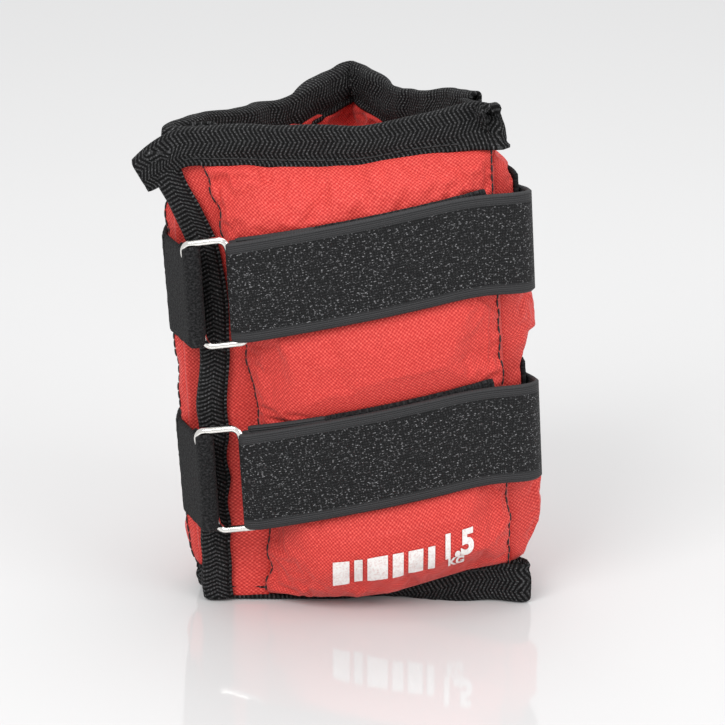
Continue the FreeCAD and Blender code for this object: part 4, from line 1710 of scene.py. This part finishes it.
@dataclass
class WeightMark:
    """A plain weight mark and bars, printed low on the front pocket."""

    pocket: SandPocket
    slope: float = math.radians(7.5)
    start: tuple[float, float] = (29.5, 13.4)

    def on_cloth(self, flat: Array) -> Array:
        """Lays flat points of the print on the front cover."""
        cos, sin = math.cos(self.slope), math.sin(self.slope)
        x = self.start[0] + flat[:, 0] * cos - flat[:, 1] * sin
        z = self.start[1] + flat[:, 0] * sin + flat[:, 1] * cos
        grid = self.pocket.cover
        surface = grid.reshape(-1, 3)
        out = np.zeros((len(x), 3))
        for k, (px, pz) in enumerate(zip(x, z)):
            gap = (surface[:, 0] - px) ** 2 + (surface[:, 2] - pz) ** 2
            near = np.argpartition(gap, 6)[:6]
            weight = 1.0 / (gap[near] + 0.1)
            y = float((surface[near, 1] * weight).sum() / weight.sum())
            out[k] = (px, y - flat[k, 2], pz)
        return self.pocket.tube.stand(out, self.pocket.pocket)

    def bars(self) -> list[tuple[float, float, float, float]]:
        """Plain slanted bars: start, end, foot and head of each."""
        widths = [5.2, 2.6, 6.4, 3.4, 4.6, 2.2]
        made, x = [], 0.0
        for width in widths:
            made.append((x, x + width, 0.0, 8.6))
            x += width + 1.5
        return made

    def patch(self, corners: tuple[float, float, float, float]) -> tuple[Array, Array]:
        """Grid of one slanted bar, with its faces."""
        x0, x1, z0, z1 = corners
        n, m = max(3, int((x1 - x0) / 0.8)), 12
        u, v = np.meshgrid(np.linspace(0, 1, n), np.linspace(0, 1, m), indexing="ij")
        flat = np.stack([x0 + (x1 - x0) * u + v * 1.6, z0 + (z1 - z0) * v, 0.0 * u + 0.3], -1).reshape(-1, 3)
        i, j = np.meshgrid(np.arange(n - 1), np.arange(m - 1), indexing="ij")
        a = (i * m + j).ravel()
        return flat, np.stack([a, a + m, a + m + 1, a + 1], -1)

    def words(self, text: str, size: float, corner: tuple[float, float]) -> tuple[Array, list[list[int]]]:
        """Flat mesh of a line of figures.

        Args:
            text: what it says.
            size: height of the figures in millimetres.
            corner: lower left corner on the print.

        Returns:
            Points and faces.
        """
        curve = bpy.data.curves.new("figures", "FONT")
        curve.body = text
        curve.size = size
        curve.offset = 0.045 * size
        holder = bpy.data.objects.new("figures", curve)
        bpy.context.scene.collection.objects.link(holder)
        bpy.context.view_layer.update()
        mesh = bpy.data.meshes.new_from_object(holder.evaluated_get(bpy.context.evaluated_depsgraph_get()))
        bpy.data.objects.remove(holder)
        shape = bmesh.new()
        shape.from_mesh(mesh)
        bmesh.ops.triangulate(shape, faces=shape.faces)
        for _ in range(3):
            long = [e for e in shape.edges if e.calc_length() > 0.9]
            if not long:
                break
            bmesh.ops.subdivide_edges(shape, edges=long, cuts=1)
            bmesh.ops.triangulate(shape, faces=shape.faces)
        points = np.array([[v.co.x * 0.85 + v.co.y * 0.2 + corner[0], v.co.y * 1.15 + corner[1], 0.3]
                           for v in shape.verts])
        faces = [[v.index for v in f.verts] for f in shape.faces]
        shape.free()
        return points, faces

    def build(self, finishes: Finishes) -> None:
        """Builds the print as a thin layer of ink."""
        points: list[Array] = []
        faces: list[list[int]] = []
        for bar in self.bars():
            flat, quads = self.patch(bar)
            base = sum(len(p) for p in points)
            points.append(flat)
            faces += (quads + base).tolist()
        for text, size, corner in (("1.5", 10.0, (34.4, 3.2)), ("KG", 4.4, (35.8, -0.9))):
            flat, tris = self.words(text, size, corner)
            base = sum(len(p) for p in points)
            points.append(flat)
            faces += [[k + base for k in tri] for tri in tris]
        flat = np.concatenate(points)
        placed = self.on_cloth(flat)
        mesh = bpy.data.meshes.new("weight_mark_print")
        mesh.from_pydata(placed.tolist(), [], faces)
        mesh.polygons.foreach_set("use_smooth", [True] * len(mesh.polygons))
        mesh.materials.append(finishes.ink)
        made = bpy.data.objects.new("weight_mark_print", mesh)
        bpy.context.scene.collection.objects.link(made)
        fit(made, Pocket.FRONT.body, "oxford_cover")
        LOG.info("print built")


# ---------------------------------------------------------------- studio

@dataclass
class Studio:
    """Pale floor, soft light and the camera."""

    tube: Tube
    azimuth: float = math.radians(0.2)
    elevation: float = math.radians(18.4)
    distance: float = 1.0
    lens: float = 156.5
    target: tuple[float, float, float] = (-47.2, 35.0, 66.4)

    def aim(self, thing: bpy.types.Object, at: Vector) -> None:
        """Turns a camera or lamp to look at a point."""
        thing.rotation_euler = (at - thing.location).to_track_quat("-Z", "Y").to_euler()

    def lamp(self, name: str, place: tuple[float, float, float], size: float, power: float,
             at: Vector) -> None:
        """Adds a soft square lamp."""
        data = bpy.data.lights.new(name, "AREA")
        data.size = size
        data.energy = power
        lamp = bpy.data.objects.new(name, data)
        bpy.context.scene.collection.objects.link(lamp)
        lamp.location = place
        self.aim(lamp, at)

    def build(self) -> None:
        """Builds the studio."""
        foot = Vector(self.tube.foot)
        at = foot + Vector(self.target) * MM
        back = Vector((math.sin(self.azimuth) * math.cos(self.elevation),
                       -math.cos(self.azimuth) * math.cos(self.elevation), math.sin(self.elevation)))
        data = bpy.data.cameras.new("camera")
        data.lens = self.lens
        data.sensor_width = 36.0
        data.clip_start = 0.01
        data.clip_end = 50.0
        camera = bpy.data.objects.new("camera", data)
        bpy.context.scene.collection.objects.link(camera)
        camera.location = at + back * self.distance
        self.aim(camera, at)
        bpy.context.scene.camera = camera

        mesh = bpy.data.meshes.new("floor")
        r = 6.0
        mesh.from_pydata([(-r, -r, 0), (r, -r, 0), (r, r, 0), (-r, r, 0)], [], [(0, 1, 2, 3)])
        mesh.materials.append(FloorSheen().make())
        floor = bpy.data.objects.new("floor", mesh)
        bpy.context.scene.collection.objects.link(floor)

        bpy.context.scene.view_settings.view_transform = "Standard"
        world = bpy.data.worlds.new("studio")
        world.use_nodes = True
        world.node_tree.nodes["Background"].inputs[0].default_value = (0.93, 0.93, 0.935, 1.0)
        world.node_tree.nodes["Background"].inputs[1].default_value = 0.80
        bpy.context.scene.world = world
        middle = Vector((0.0, 0.0, 0.08))
        self.lamp("key", (-0.7, -1.1, 1.2), 0.9, 16.0, middle)
        self.lamp("fill", (1.1, -0.9, 0.7), 1.0, 8.5, middle)
        self.lamp("over", (0.1, 0.5, 1.5), 1.2, 9.0, middle)
        LOG.info("studio built")


def main() -> None:
    """Builds the cuff in order and reports each piece."""
    logging.basicConfig(level=logging.INFO, format="%(name)s: %(message)s")
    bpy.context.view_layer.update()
    joints = {joint["name"]: joint for joint in frame["joints"]}
    tube = Tube.read(joints)
    finishes = Finishes()
    sewing = Sewing(finishes.thread)
    rings = RingRecipe()
    straps = [StrapSet(tube, Level.UPPER, joints), StrapSet(tube, Level.LOWER, joints, strap_drop=0.8)]
    pockets: dict[Pocket, SandPocket] = {}
    fits = {Pocket.FRONT: (14.0, 2.4, 2.6), Pocket.RIGHT: (16.5, 7.0, 3.2), Pocket.REAR: (15.0, 3.0, 2.6)}
    for index, pocket in enumerate(Pocket):
        bulge, shoulder, fullness = fits[pocket]
        lines = [strap.lines()[index] for strap in straps]
        pockets[pocket] = SandPocket(tube, pocket, lines, bulge, shoulder, fullness)
        if pocket is Pocket.REAR:
            pockets[pocket].sewn_half_length = 1.5
        pockets[pocket].build(finishes)
    for strap in straps:
        strap.build(finishes, rings)
    Bindings(tube, pockets[Pocket.FRONT]).build(finishes, sewing)
    seams = {"front_left_seam_stitching": (Pocket.FRONT, 1), "front_right_seam_stitching": (Pocket.FRONT, -4),
             "right_rear_seam_stitching": (Pocket.RIGHT, -4), "rear_last_seam_stitching": (Pocket.REAR, -4)}
    for name, (pocket, column) in seams.items():
        row = sewing.row(name, [pockets[pocket].seam_line(column, 0.15, 8.0, 146.0)])
        fit(row, pocket.body, "oxford_cover")
    WeightMark(pockets[Pocket.FRONT]).build(finishes)
    Studio(tube).build()


if __name__ == "__main__":
    main()
